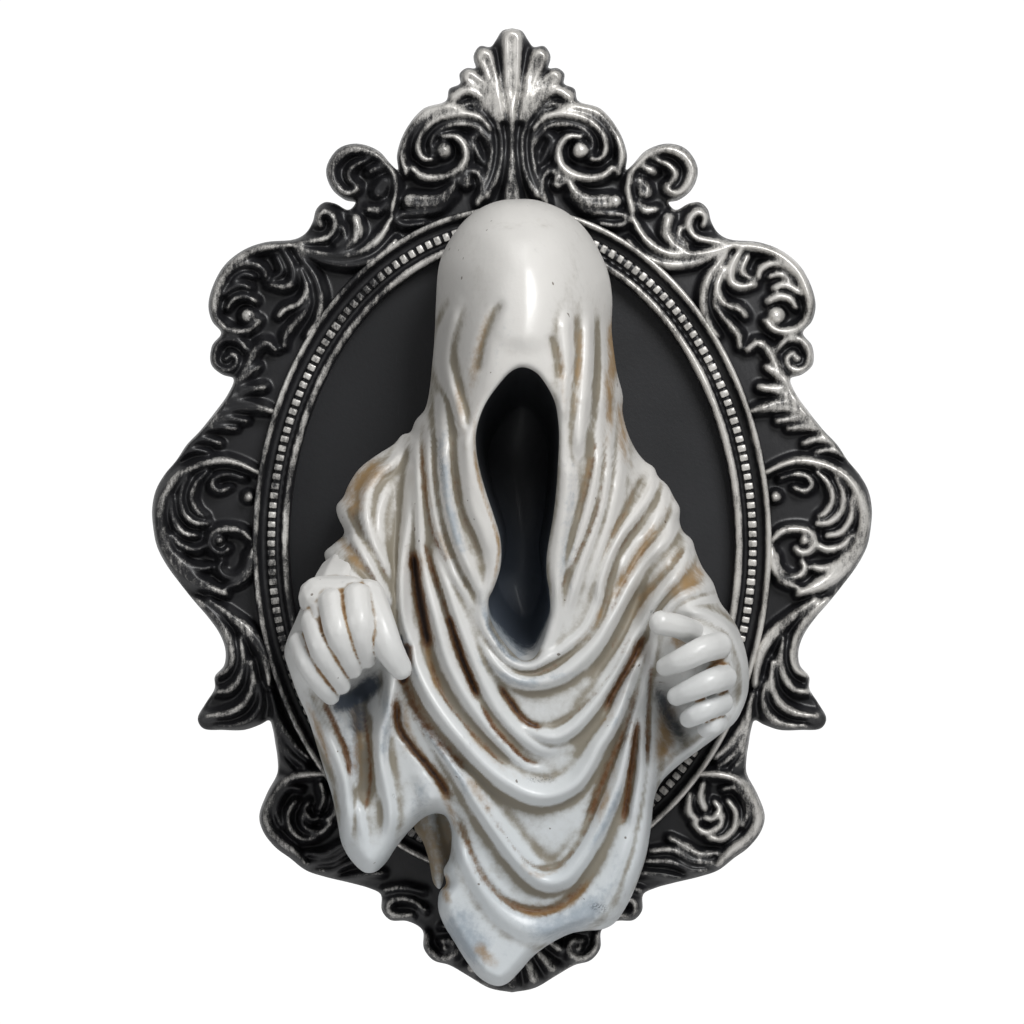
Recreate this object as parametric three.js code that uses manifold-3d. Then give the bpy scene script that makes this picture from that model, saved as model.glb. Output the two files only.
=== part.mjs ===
// A hooded ghost leaning out of an oval baroque wall frame, cast in resin: the carved frame, the
// oval back board inside it and the figure in one casting. Millimetres, +Z up, the wall behind at
// y = 0 and the front towards -Y. The origin is on the flat back, behind the oval's centre.
// Points are drawn as [x, z] on the face of the frame, and "depth" is the distance from the wall.
import * as THREE from "three";
import { mergeVertices } from "three/addons/utils/BufferGeometryUtils.js";
import Module from "manifold-3d";

const wasm = await Module();
wasm.setup();

// Driving dimensions of the frame
const OVAL_HALF_WIDTH = 84; // of the sight opening, inside the inner rib
const OVAL_HALF_HEIGHT = 113;
const MOULDING_WIDTH = 12.5; // from the sight edge to the outer side of the outer rib
const GROUND_DEPTH = 10; // of the plain black ground between the scrolls
const RIB_DEPTH = 17.5; // of the oval's outer rib
const GROOVE_DEPTH = 11.5;
const COURSE_DEPTH = 14.5; // of the beaded course
const SIGHT_DEPTH = 14; // of the inner rib
const STROKE_SUNK = 1.5; // how far a leaf's foot reaches into the ground
const ORNAMENT_LIFT = 1; // scales how far the leaves and scrolls stand off the ground
const SCROLL_STEP = 54; // degrees between the stations of a scroll
const OVAL_STEPS = 36;
const CLEARANCE = 0.3; // between two pieces that touch

// Driving dimensions of the back board
const BOARD_DEPTH = 5; // of its front face from the wall; its back is flush with the frame's
const REBATE = 5; // how far the board reaches under the sight edge

// Driving dimensions of the figure
const FIGURE_HEIGHT = 281;
const CHART_HEIGHT = 293; // the height at which the figure's points below are drawn
const CHART_TOP = 128;
const FIGURE_TOP = 123; // of the hood above the oval's centre
const FRAME_GAP = 3; // between the carving and what the figure hangs in front of it
const CLOTH_THICKNESS = 7; // of the robe where it hangs free
const HOLLOW_TOP = -66; // where the hollow under the robe ends, on the chart
const FOLD_SUNK = 1.8; // how far a fold's feet reach into the cloth
const FOLD_ROOT = 17; // how deep a fold's root goes, so that none hangs over the cloth between two others
const CELL = 11; // of the grid that the cloth's front is made on, on the chart
const HOLLOW_CELL = 14; // of the plainer grid inside the robe
const HOOD_HOLLOW_FLOOR = 38; // depth of the darkness in the hood
const FINGER_SIDES = 5;

const FRAME_TOP_DEPTH = 22;
const FIGURE_SCALE = FIGURE_HEIGHT / CHART_HEIGHT;
const BEHIND_FIGURE = FRAME_TOP_DEPTH + FRAME_GAP;

// Small tools

function solidFrom(geometry) {
  const bare = geometry.index ? geometry.toNonIndexed() : geometry.clone();
  bare.deleteAttribute("normal");
  bare.deleteAttribute("uv");
  const merged = mergeVertices(bare, 1e-4);
  return new wasm.Manifold(
    new wasm.Mesh({
      numProp: 3,
      vertProperties: merged.attributes.position.array,
      triVerts: new Uint32Array(merged.index.array),
    }),
  );
}

function meshFrom(name, solid, material) {
  const made = solid.getMesh();
  const geometry = new THREE.BufferGeometry();
  geometry.setAttribute("position", new THREE.BufferAttribute(made.vertProperties, 3));
  geometry.setIndex(new THREE.BufferAttribute(made.triVerts, 1));
  geometry.computeVertexNormals();
  const mesh = new THREE.Mesh(geometry, material);
  mesh.name = name;
  return mesh;
}

function smoothLine(points, steps, closed = false) {
  const curve = new THREE.CatmullRomCurve3(
    points.map(([x, z]) => new THREE.Vector3(x, z, 0)),
    closed,
    "centripetal",
  );
  return curve.getPoints(steps).map((p) => [p.x, p.y]);
}

function ramp(low, high, value) {
  const t = Math.min(1, Math.max(0, (value - low) / (high - low)));
  return t * t * (3 - 2 * t);
}

// The value at t of a list of values spread evenly from 0 to 1.
function along(values, t) {
  const place = Math.min(values.length - 1.0001, Math.max(0, t * (values.length - 1)));
  const i = Math.floor(place);
  return values[i] + (values[i + 1] - values[i]) * (place - i);
}

// The value at a height of a table of [height, value] rows that run downwards.
function tableAt(rows, z) {
  if (z >= rows[0][0]) return rows[0][1];
  for (let i = 1; i < rows.length; i++) {
    const [low, value] = rows[i];
    const [high, before] = rows[i - 1];
    if (z >= low) return value + (before - value) * ramp(low, high, z);
  }
  return rows[rows.length - 1][1];
}

// A prism over a closed outline of [x, z] points, between two depths.
function prism(outline, fromDepth, toDepth) {
  const shape = new THREE.Shape(outline.map(([x, z]) => new THREE.Vector2(x, z)));
  const geometry = new THREE.ExtrudeGeometry(shape, {
    depth: toDepth - fromDepth,
    bevelEnabled: false,
    steps: 1,
  });
  geometry.translate(0, 0, fromDepth);
  geometry.rotateX(Math.PI / 2);
  return solidFrom(geometry);
}

// Closed rings of [x, depth, z] points, one after the other, skinned and capped at both ends.
function skin(rings) {
  const sides = rings[0].length;
  const positions = rings.flat().flatMap(([x, depth, z]) => [x, -depth, z]);
  const index = [];
  for (let r = 0; r + 1 < rings.length; r++)
    for (let s = 0; s < sides; s++) {
      const a = r * sides + s;
      const b = r * sides + ((s + 1) % sides);
      index.push(a, b, a + sides, b, b + sides, a + sides);
    }
  const last = (rings.length - 1) * sides;
  for (let s = 1; s + 1 < sides; s++) {
    index.push(0, s + 1, s);
    index.push(last, last + s, last + s + 1);
  }
  const geometry = new THREE.BufferGeometry();
  geometry.setAttribute("position", new THREE.Float32BufferAttribute(positions, 3));
  geometry.setIndex(index);
  const solid = solidFrom(geometry);
  if (solid.volume() > 0) return solid;
  geometry.setIndex(index.map((_, i) => index[i - (i % 3) + 2 - (i % 3)]));
  return solidFrom(geometry);
}

// The carved strokes of the frame

// A raised stroke along a line: its half widths and its top depth run along it.
function stroke(line, halfWidths, topDepth) {
  const rings = line.map(([x, z], i) => {
    const before = line[Math.max(0, i - 1)];
    const after = line[Math.min(line.length - 1, i + 1)];
    const run = Math.hypot(after[0] - before[0], after[1] - before[1]);
    const across = [-(after[1] - before[1]) / run, (after[0] - before[0]) / run];
    const half = along(halfWidths, i / (line.length - 1));
    return [
      [-1, GROUND_DEPTH - STROKE_SUNK],
      [0, topDepth],
      [1, GROUND_DEPTH - STROKE_SUNK],
    ].map(([side, depth]) => [x + across[0] * half * side, depth, z + across[1] * half * side]);
  });
  return skin(rings);
}

// A spiral from one radius to another about a centre, between two angles in degrees.
function spiral([cx, cz], fromRadius, toRadius, fromAngle, toAngle) {
  const steps = Math.max(3, Math.round(Math.abs(toAngle - fromAngle) / SCROLL_STEP));
  return Array.from({ length: steps + 1 }, (_, i) => {
    const t = i / steps;
    const radius = fromRadius + (toRadius - fromRadius) * t;
    const angle = THREE.MathUtils.degToRad(fromAngle + (toAngle - fromAngle) * t);
    return [cx + radius * Math.cos(angle), cz + radius * Math.sin(angle)];
  });
}

function boss([x, z], radius, topDepth) {
  const sides = 7;
  const ring = (share, depth) =>
    Array.from({ length: sides }, (_, s) => {
      const angle = (s / sides) * 2 * Math.PI;
      return [x + radius * share * Math.cos(angle), depth, z + radius * share * Math.sin(angle)];
    });
  return skin([ring(1, GROUND_DEPTH - STROKE_SUNK), ring(0.6, topDepth)]);
}

// Scrolls: centre, first and last radius, first and last angle, half widths, lift off the ground
const SCROLLS = [
  [[25.5, 147.5], 17.5, 15, 150, -20, [1.5, 3, 3.2, 3], 9], // crest scroll, outer leaf
  [[25.5, 147.5], 14.5, 6.5, -30, -265, [2.4, 1.5, 1.4, 1.3], 8], // crest scroll, inner turn
  [[56.5, 137], 13.2, 11, 205, -15, [1.6, 1.7, 2.4, 3], 9], // second scroll, outer turn
  [[56.5, 137], 10, 6, -15, -80, [2.6, 2.2, 1.4], 8], // second scroll, tip
  [[70, 119.5], 6.4, 4.5, 175, 20, [1.4, 1.5, 1.5], 7], // small curl
  [[100, 93], 18, 12.5, 100, -5, [2, 3.2, 3], 8], // corner scroll, outer leaf
  [[101, 87.5], 10.5, 6, 20, -220, [2.2, 1.7, 1.5, 1.3], 8], // corner scroll, inner turn
  [[105.5, 69.5], 5, 4.6, 150, -110, [2.5, 2.6, 2.2], 5], // bud under the corner
  [[104.5, -5], 9.2, 8, 150, 30, [1.8, 2, 2.2], 6], // roundel, upper turn
  [[104.5, -6], 8.5, 6.5, 165, 330, [1.4, 1.5, 1.2], 5], // roundel, lower turn
  [[79, -100], 12.5, 11.5, 115, -100, [1.4, 2.2, 3, 2.6], 8], // bottom scroll, outer leaf
  [[76, -101], 9.5, 7, -70, -190, [1.6, 1.6, 2], 8], // bottom scroll, inner turn
  [[26, -149.5], 5.2, 4.6, 130, -120, [1.6, 1.8, 1.8], 5], // bottom curl
];

// Leaves: points that the leaf runs through, half widths, lift off the ground
const LEAVES = [
  [[[3.4, 159], [6, 172], [10.4, 184.5]], [1.1, 2.4, 3.7], 8], // crest lobes
  [[[5, 159], [9.2, 169], [15.2, 174.8]], [1, 2.3, 3.2], 7.5],
  [[[6.5, 158], [11.5, 166], [17, 168.6], [21.6, 166.5]], [1, 1.8, 2, 2], 7],
  [[[9, 152], [16, 158.6], [24, 159.6], [31.5, 156], [34.6, 149], [31, 143.6]], [1, 1.8, 2, 1.6], 7],
  [[[21, 136], [22.5, 130], [28, 126.8], [37, 126.6]], [1, 2.2, 2.6, 1.9], 7], // bone leaf
  [[[45.6, 124], [44, 133], [46, 141]], [1.4, 1.5, 1.6], 8], // second scroll's back
  [[[46, 123], [52, 113], [61, 108], [71, 107], [79, 110.6]], [2, 4.4, 4.2, 3.4, 1.4], 8.5],
  [[[88, 111.4], [83, 105.6], [83, 99], [89, 96.6]], [2, 3, 2.8, 1.4], 8], // corner leaf lobes
  [[[105, 105], [98, 106.6], [92, 105], [90.6, 100.6]], [0.8, 1.5, 1.9, 1.8], 6.5],
  [[[80, 109.4], [72.6, 101], [71, 93], [76.6, 79.4]], [1.2, 2.6, 3, 2], 7], // leaf on the oval
  [[[76.6, 103], [76.6, 94], [80.6, 87.4], [86, 84.6]], [1, 2, 2.2, 2], 7],
  [[[73.6, 93], [78, 83], [84.4, 77], [84, 71.6]], [1.2, 2, 2, 1.8], 7],
  [[[88.4, 73], [93, 75.6], [96.4, 69], [101, 61]], [1.2, 2.2, 2, 1.6], 6.5], // hook
  [[[110, 49.4], [101, 57], [93.4, 60.4]], [2, 4.2, 1.6], 7], // side acanthus lobes
  [[[113, 47], [103, 51.4], [96, 49], [89.4, 48.6]], [1.4, 3.2, 4, 1.4], 7],
  [[[102, 60], [113, 48.6], [122, 37.6]], [1.4, 2.2, 2], 7],
  [[[123.4, 36], [115, 38.6], [108.6, 37]], [1, 2.2, 1.5], 6],
  [[[124, 28.6], [113, 29.4], [104, 29], [97, 25.4]], [1.2, 2.4, 2.4, 1.6], 6], // roundel's leaf
  [[[124, 29.6], [130.6, 20], [131, 4], [124, -9.4], [110, -18]], [2, 3.2, 3, 3.4, 1.4], 8.5],
  [[[120, 27.6], [124, 19], [121.4, 11], [113.6, 7]], [1, 1.9, 1.8, 1], 7.5],
  [[[126.4, -2], [121, -9], [114, -12]], [1.2, 1.4, 1], 6],
  [[[115, -21], [105, -25.6], [97.6, -33], [90, -51]], [1.4, 2.4, 3, 1.6], 7.5], // lower leaves
  [[[116, -20.6], [108, -29.4], [104.6, -41], [111.4, -49.4]], [1.6, 2, 2.2, 1.3], 7],
  [[[109, -27], [101, -38], [101.6, -49], [110, -55.4]], [1, 2.2, 2.4, 1.3], 7.5],
  [[[96, -46], [95.6, -56], [101, -64], [113, -66.4]], [1, 2.2, 2.4, 1.4], 7],
  [[[89.6, -62], [85.6, -72], [77.6, -79]], [1.2, 1.7, 1.2], 5.5], // side leaves, going down
  [[[88, -70], [84, -80], [74.6, -93]], [1.3, 1.6, 1.3], 6],
  [[[66, -94.6], [67.4, -101], [73, -101]], [2.2, 3, 2], 7.5], // tongue in the bottom scroll
  [[[79.6, -96], [83.6, -101.6], [81.6, -108], [71, -108.4]], [1.6, 1.7, 1.6, 1.2], 7],
  [[[47.6, -128.6], [59, -124.6], [75, -120], [88, -108.6]], [1.8, 2, 2.2, 2.2], 5],
  [[[30, -129], [40, -130.6], [47, -134.6]], [1.6, 2.2, 1.6], 5],
  [[[10, -148], [19, -158], [31, -153]], [1.4, 2, 1.4], 4.5],
];

// Bosses: centre, radius, lift off the ground
const BOSSES = [
  [[25.5, 147.8], 3.7, 9],
  [[99.6, 86], 3.3, 8],
];

// The ground plate's outline on the right, from the crest down to the foot
const GROUND_OUTLINE = [
  [0, 190], [9, 181], [17, 172], [24, 163.4], [35, 159], [41, 149], [44, 144], [52, 148],
  [64, 146], [67, 134], [63, 127], [70, 124], [76, 114], [92, 111], [106, 104], [112, 94],
  [110, 82], [109, 68], [104, 60], [113, 46.6], [122, 34], [131, 18], [130, 2], [122, -13],
  [110, -26], [105, -42], [110, -56], [112, -65], [100, -67], [90, -64], [86.4, -78], [88, -90],
  [91, -101], [82, -114], [64, -122.6], [46, -130], [44, -138], [31, -146], [29, -155], [15, -163],
  [0, -167],
];
const CREST_LOBE = { from: 158, to: 192, halfWidths: [1.6, 3, 5.4], lift: 9 };
const STEM = { from: 124, to: 160, halfWidths: [3.4, 2, 1.6], lift: 7.5 };
const FOOT_FAN = { centre: [0, -146], reach: 21, lobes: 7, spread: 26, halfWidths: [1, 1.8, 2.3] };
const FOOT_FAN_LIFT = 6;

function mirrored(solid) {
  return solid.add(solid.mirror([1, 0, 0]));
}

// A ring round the oval with this section: [distance outside the sight edge, depth] points.
function ovalRing(section) {
  const rings = Array.from({ length: OVAL_STEPS }, (_, i) => {
    const angle = (i / OVAL_STEPS) * 2 * Math.PI;
    return section.map(([out, depth]) => [
      (OVAL_HALF_WIDTH + out) * Math.cos(angle),
      depth,
      (OVAL_HALF_HEIGHT + out) * Math.sin(angle),
    ]);
  });
  return closedRing(rings);
}

function closedRing(rings) {
  const sides = rings[0].length;
  const count = rings.length;
  const positions = rings.flat().flatMap(([x, depth, z]) => [x, -depth, z]);
  const index = [];
  for (let r = 0; r < count; r++)
    for (let s = 0; s < sides; s++) {
      const a = r * sides + s;
      const b = r * sides + ((s + 1) % sides);
      const c = ((r + 1) % count) * sides + s;
      const d = ((r + 1) % count) * sides + ((s + 1) % sides);
      index.push(a, b, c, b, d, c);
    }
  const geometry = new THREE.BufferGeometry();
  geometry.setAttribute("position", new THREE.Float32BufferAttribute(positions, 3));
  geometry.setIndex(index);
  const solid = solidFrom(geometry);
  if (solid.volume() > 0) return solid;
  geometry.setIndex(index.map((_, i) => index[i - (i % 3) + 2 - (i % 3)]));
  return solidFrom(geometry);
}

function ellipse(grow, steps = OVAL_STEPS) {
  return Array.from({ length: steps }, (_, i) => {
    const angle = (i / steps) * 2 * Math.PI;
    return [(OVAL_HALF_WIDTH + grow) * Math.cos(angle), (OVAL_HALF_HEIGHT + grow) * Math.sin(angle)];
  });
}

function buildFrame() {
  const side = GROUND_OUTLINE.map(([x, z]) => [x, z]);
  const other = side.slice(1, -1).reverse().map(([x, z]) => [-x, z]);
  let frame = prism([...side, ...other], 0, GROUND_DEPTH);
  const top = (lift) => GROUND_DEPTH + lift * ORNAMENT_LIFT;
  let carving = boss(...BOSSES[0].slice(0, 2), top(BOSSES[0][2]));
  for (const [centre, radius, lift] of BOSSES.slice(1))
    carving = carving.add(boss(centre, radius, top(lift)));
  for (const [centre, r0, r1, a0, a1, half, lift] of SCROLLS)
    carving = carving.add(stroke(spiral(centre, r0, r1, a0, a1), half, top(lift)));
  for (const [points, half, lift] of LEAVES)
    carving = carving.add(stroke(points, half, top(lift)));
  frame = frame.add(mirrored(carving));
  for (const { from, to, halfWidths, lift } of [CREST_LOBE, STEM])
    frame = frame.add(stroke([[0, from], [0, (from + to) / 2], [0, to]], halfWidths, top(lift)));
  for (let i = 0; i < FOOT_FAN.lobes; i++) {
    const turn = (i - (FOOT_FAN.lobes - 1) / 2) * FOOT_FAN.spread;
    const angle = THREE.MathUtils.degToRad(-90 + turn);
    const reach = FOOT_FAN.reach * Math.cos(THREE.MathUtils.degToRad(turn / 2.4));
    const at = (share) => [
      FOOT_FAN.centre[0] + reach * share * Math.cos(angle),
      FOOT_FAN.centre[1] + reach * share * Math.sin(angle),
    ];
    frame = frame.add(stroke([at(0.2), at(0.6), at(1)], FOOT_FAN.halfWidths, top(FOOT_FAN_LIFT)));
  }
  frame = frame.subtract(prism(ellipse(MOULDING_WIDTH - 1), -1, FRAME_TOP_DEPTH + 10));
  frame = frame.add(
    ovalRing([
      [0, 0],
      [0.6, SIGHT_DEPTH],
      [2.4, SIGHT_DEPTH],
      [3.6, GROOVE_DEPTH],
      [6, COURSE_DEPTH],
      [8.4, GROOVE_DEPTH],
      [10.6, RIB_DEPTH],
      [12, RIB_DEPTH],
      [MOULDING_WIDTH, 0],
    ]),
  );
  const rebateDepth = BOARD_DEPTH + CLEARANCE;
  return frame.subtract(prism(ellipse(REBATE + CLEARANCE), -1, rebateDepth));
}

function buildBoard() {
  return prism(ellipse(REBATE), 0, BOARD_DEPTH);
}

// The figure, drawn on the chart

// Outline from the top of the hood down the right side, round the hem and up the left side
const FIGURE_OUTLINE = [
  [4, 128], [18, 125], [29, 115], [35.5, 102], [37.5, 88], [38.5, 70], [41.5, 52], [45, 37],
  [53, 28], [61, 17], [66, 4], [72, -8], [78, -22], [86, -36], [88.5, -50], [85, -62], [78, -71],
  [66, -80], [57, -89], [53.5, -100], [51.5, -114], [46, -130], [37, -143], [20, -146], [8, -155],
  [-1, -163.5], [-10, -163], [-20, -152], [-28, -135], [-32, -121], [-37, -109], [-43, -115],
  [-50, -122.5], [-58, -120], [-65, -108], [-68, -92], [-74, -72], [-81, -57], [-85, -42],
  [-81, -29], [-73, -13], [-68, 0], [-65, 14], [-57, 28], [-42, 39], [-34, 48], [-30, 68],
  [-28.5, 98], [-22, 117], [-9, 126],
];

// Front depths along the middle of the body, before folds: [height, depth] rows
const BODY_DEPTHS = [
  [128, 84], [100, 94], [70, 101], [40, 94], [0, 84], [-45, 79], [-100, 67], [-165, 50],
];
const BODY_WIDTHS = [
  [128, 40], [60, 42], [10, 52], [-50, 58], [-165, 66],
];
// The silhouette rolls back over this width: [height, width] rows
const EDGE_ROLLS = [
  [128, 29], [60, 27], [30, 15], [-50, 12], [-75, 8], [-165, 4],
];
const EDGE_DEPTHS = [
  [128, 46], [40, 40], [-40, 50], [-80, 44], [-165, 38],
];
// Arms: shoulder and wrist as [x, z, depth of the axis, radius]
const ARMS = [
  [[-48, 24, 34, 19], [-66, -28, 62, 20]],
  [[50, 20, 34, 19], [72, -36, 62, 19]],
];
// Hanging sleeves: middle line top and bottom as [x, z, front depth], and half width
const SLEEVES = [
  [[-58, -50, 66], [-54, -122, 52], 22],
  [[66, -60, 60], [54, -100, 54], 16],
];
const BODY_MIDDLE = 4;
const BLEND = 6; // how softly the body's forms run into each other

// Folds: points that the crest of the fold runs through, height and half width
const FOLDS = [
  [[[-34, 4], [-32, -20], [-24, -48], [-9, -72], [8, -84]], 5, 5], // swags, from the left shoulder
  [[[-29, 4], [-20, -26], [-8, -54], [8, -72.6], [24, -68], [37, -46], [48, -26]], 6, 6],
  [[[-40, -4], [-40, -24], [-31, -56], [-13, -82], [10, -94], [30, -84], [43, -60], [50, -36]], 8, 7],
  [[[-42, -52], [-30, -75], [-16, -100], [-2, -121], [12, -128], [28, -120], [40, -96], [48, -66]], 8, 7],
  [[[-24, -104], [-18, -117], [-6, -133], [8, -140], [22, -136], [34, -126]], 5, 6],
  [[[-16, -22], [-9, -33], [4, -47], [16, -42], [27, -30], [34, -14], [43, 7], [52, 26]], 6, 5],
  [[[61, 13], [52, -5], [41, -23], [33, -42], [20, -56]], 6, 6], // right shoulder
  [[[67, -1], [57, -15], [49, -28]], 5, 5],
  [[[-40, 40], [-51, 27], [-55, 12], [-49, -6]], 5, 5], // left shoulder
  [[[-65, 14], [-57, -4], [-46, -20]], 5, 5],
  [[[-24, 84], [-25, 66], [-20, 42], [-17, 16], [-9, -8]], 4, 5], // hood, left
  [[[22, 60], [23, 30], [20, 0], [16, -26]], 4, 6], // hood, right
  [[[36, 82], [37, 50], [36, 20], [29, -8], [20, -30]], 4, 5],
  [[[-69, -58], [-60, -76], [-60, -94], [-64, -108]], 7, 5],
  [[[-45, -50], [-49, -72], [-47, -92], [-43, -106]], 7, 6],
  [[[52, -40], [47, -64], [47, -90], [50, -108]], 5, 4], // right sleeve
];
// Places that are pressed in: middle, half width, half height, depth
const HOLLOWS = [
  [[-55, -52], 8, 16, 16], // inside the left sleeve
  [[62, -60], 10, 14, 14], // inside the right sleeve
  [[-31, -113], 6, 12, 16], // under the left arch of the hem
  [[12, -108], 14, 12, 4],
];

// The opening of the hood, from its top down the right side
const HOOD_OPENING = [
  [4, 66], [11, 62], [16.5, 50], [18, 36], [16, 12], [13.5, -6], [14, -22], [10, -37], [4, -43],
  [-3, -40], [-8.5, -30], [-8, -20], [-4, -8], [-5, 5], [-10, 20], [-13, 38], [-11, 53], [-4, 63],
];

// Fingers: points from knuckle to tip as [x, z, depth], and the radii there
const HANDS = {
  left: {
    wrist: [[-62, -16, 62], [-66, -27, 78], [13, 12]],
    palm: [[-66, -27, 86], 14, 9],
    fingers: [
      [[-57, -22, 90], [-56, -33, 95], [-54.4, -41, 88], [5.4, 5, 3.2]],
      [[-68, -24, 89], [-64, -36, 95], [-60.4, -45.6, 88], [5.4, 4.9, 3.2]],
      [[-75, -31, 86], [-71, -42, 92], [-65, -51.4, 86], [5.2, 4.8, 3.2]],
      [[-79, -39, 82], [-75, -48, 88], [-68.6, -56, 83], [4.8, 4.4, 3]],
      [[-52, -24, 84], [-49, -38, 92], [-43.6, -46.6, 90], [6.6, 6.4, 4.4]],
    ],
  },
  right: {
    wrist: [[68, -30, 58], [76, -46, 74], [14, 11]],
    palm: [[77, -47, 86], 12, 9],
    fingers: [
      [[77, -38, 80], [66, -31, 93], [55, -29.4, 95], [5.6, 5, 4.2]],
      [[81, -39, 88], [70, -43.4, 95], [58, -46.8, 92], [5.6, 5.2, 3.2]],
      [[83, -48, 86], [73, -53.6, 94], [61, -57.6, 91], [5.6, 5.2, 3.4]],
      [[83, -57, 83], [76, -62.4, 91], [66.6, -66, 88], [5.2, 4.9, 3.3]],
      [[80, -64.6, 80], [76, -68, 86], [71, -70.6, 84], [4.6, 4.3, 3.1]],
    ],
  },
};
// Cuffs: points that the rolled edge of the sleeve runs through as [x, z, depth], and its radius
const CUFFS = [
  [[[-83, -38, 74], [-78, -24, 84], [-66, -16, 92], [-53, -18, 92], [-46, -30, 84]], 2.6],
  [[[60, -25, 86], [72, -23.6, 90], [83, -34, 86], [87, -48, 78], [82, -65, 74]], 2.6],
];

const FIGURE_LINE = smoothLine(FIGURE_OUTLINE, 56, true).slice(0, -1);

function toSegment(x, z, [ax, az], [bx, bz]) {
  const length = (bx - ax) ** 2 + (bz - az) ** 2;
  const t = Math.min(1, Math.max(0, ((x - ax) * (bx - ax) + (z - az) * (bz - az)) / length));
  return [Math.hypot(x - ax - t * (bx - ax), z - az - t * (bz - az)), t];
}

// The distance to a line of points, and the share of the line where it is nearest.
function toLine(x, z, line) {
  let best = [Infinity, 0];
  for (let i = 0; i + 1 < line.length; i++) {
    const [distance, t] = toSegment(x, z, line[i], line[i + 1]);
    if (distance < best[0]) best = [distance, (i + t) / (line.length - 1)];
  }
  return best;
}

function inside(x, z, outline) {
  let odd = false;
  for (let i = 0, j = outline.length - 1; i < outline.length; j = i++) {
    const [ax, az] = outline[i];
    const [bx, bz] = outline[j];
    if (az > z !== bz > z && x < ((bx - ax) * (z - az)) / (bz - az) + ax) odd = !odd;
  }
  return odd;
}

// How far a point lies inside the figure's outline; outside it the value is negative.
function insetOf(x, z) {
  const [distance] = toLine(x, z, [...FIGURE_LINE, FIGURE_LINE[0]]);
  return inside(x, z, FIGURE_LINE) ? distance : -distance;
}

function softMax(a, b) {
  const h = Math.max(0, BLEND - Math.abs(a - b)) / BLEND;
  return Math.max(a, b) + (h * h * BLEND) / 4;
}

function armDepth([shoulder, wrist], x, z) {
  const [distance, t] = toSegment(x, z, shoulder, wrist);
  const radius = shoulder[3] + (wrist[3] - shoulder[3]) * t;
  const axis = shoulder[2] + (wrist[2] - shoulder[2]) * t;
  const share = Math.min(1, distance / (radius * 1.25));
  return axis + radius * 1.25 * Math.sqrt(1 - share * share) - 4 * share;
}

function sleeveDepth([top, bottom, halfWidth], x, z) {
  const t = Math.min(1, Math.max(0, (z - top[1]) / (bottom[1] - top[1])));
  const middle = top[0] + (bottom[0] - top[0]) * t;
  const share = Math.min(1, Math.abs(x - middle) / halfWidth);
  const above = ramp(top[1] + 24, top[1], z);
  return (top[2] + (bottom[2] - top[2]) * t) * (0.55 + 0.45 * Math.sqrt(1 - share * share)) * above;
}

function pressedIn(x, z) {
  let depth = 0;
  for (const [[cx, cz], halfWidth, halfHeight, most] of HOLLOWS) {
    const share = Math.hypot((x - cx) / halfWidth, (z - cz) / halfHeight);
    depth = Math.max(depth, most * ramp(1.25, 0.7, share));
  }
  return depth;
}

// The cloth's front at a point of the chart; inset draws it in, for the inside of the cloth.
function clothDepth(x, z, inset = 0) {
  const width = tableAt(BODY_WIDTHS, z);
  const share = Math.min(1, Math.abs(x - BODY_MIDDLE) / width);
  let full = 30 + (tableAt(BODY_DEPTHS, z) - 30) * Math.sqrt(1 - share ** 2.4);
  for (const arm of ARMS) full = softMax(full, armDepth(arm, x, z));
  for (const sleeve of SLEEVES) full = softMax(full, sleeveDepth(sleeve, x, z));
  full -= pressedIn(x, z);
  const edge = tableAt(EDGE_DEPTHS, z);
  const roll = Math.min(1, Math.max(0, (insetOf(x, z) - inset) / tableAt(EDGE_ROLLS, z)));
  const rolled = edge + (full - edge) * Math.sqrt(1 - (1 - roll) ** 2);
  return rolled - inset;
}

// A fold of the cloth: a ridge with sloping sides that runs along a line on the cloth's front.
function foldSolid([points, height, half]) {
  const line = smoothLine(points, points.length);
  const rings = line.map(([x, z], i) => {
    const before = line[Math.max(0, i - 1)];
    const after = line[Math.min(line.length - 1, i + 1)];
    const run = Math.hypot(after[0] - before[0], after[1] - before[1]);
    const across = [-(after[1] - before[1]) / run, (after[0] - before[0]) / run];
    const end = i === 0 || i === line.length - 1;
    const section = [
      [-1, -FOLD_SUNK],
      [0, end ? 0 : height],
      [1, -FOLD_SUNK],
      [0, -FOLD_ROOT],
    ];
    return section.map(([side, rise]) => {
      const wide = half * (end ? 0.5 : 1.25) * side;
      const at = [x + across[0] * wide, z + across[1] * wide];
      const [px, pz] = placed(at);
      return [px, clothDepth(...at) + rise, pz];
    });
  });
  return skin(rings);
}

// From the chart to the figure's real place and size.
function placed([x, z]) {
  return [x * FIGURE_SCALE, FIGURE_TOP + (z - CHART_TOP) * FIGURE_SCALE];
}

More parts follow.
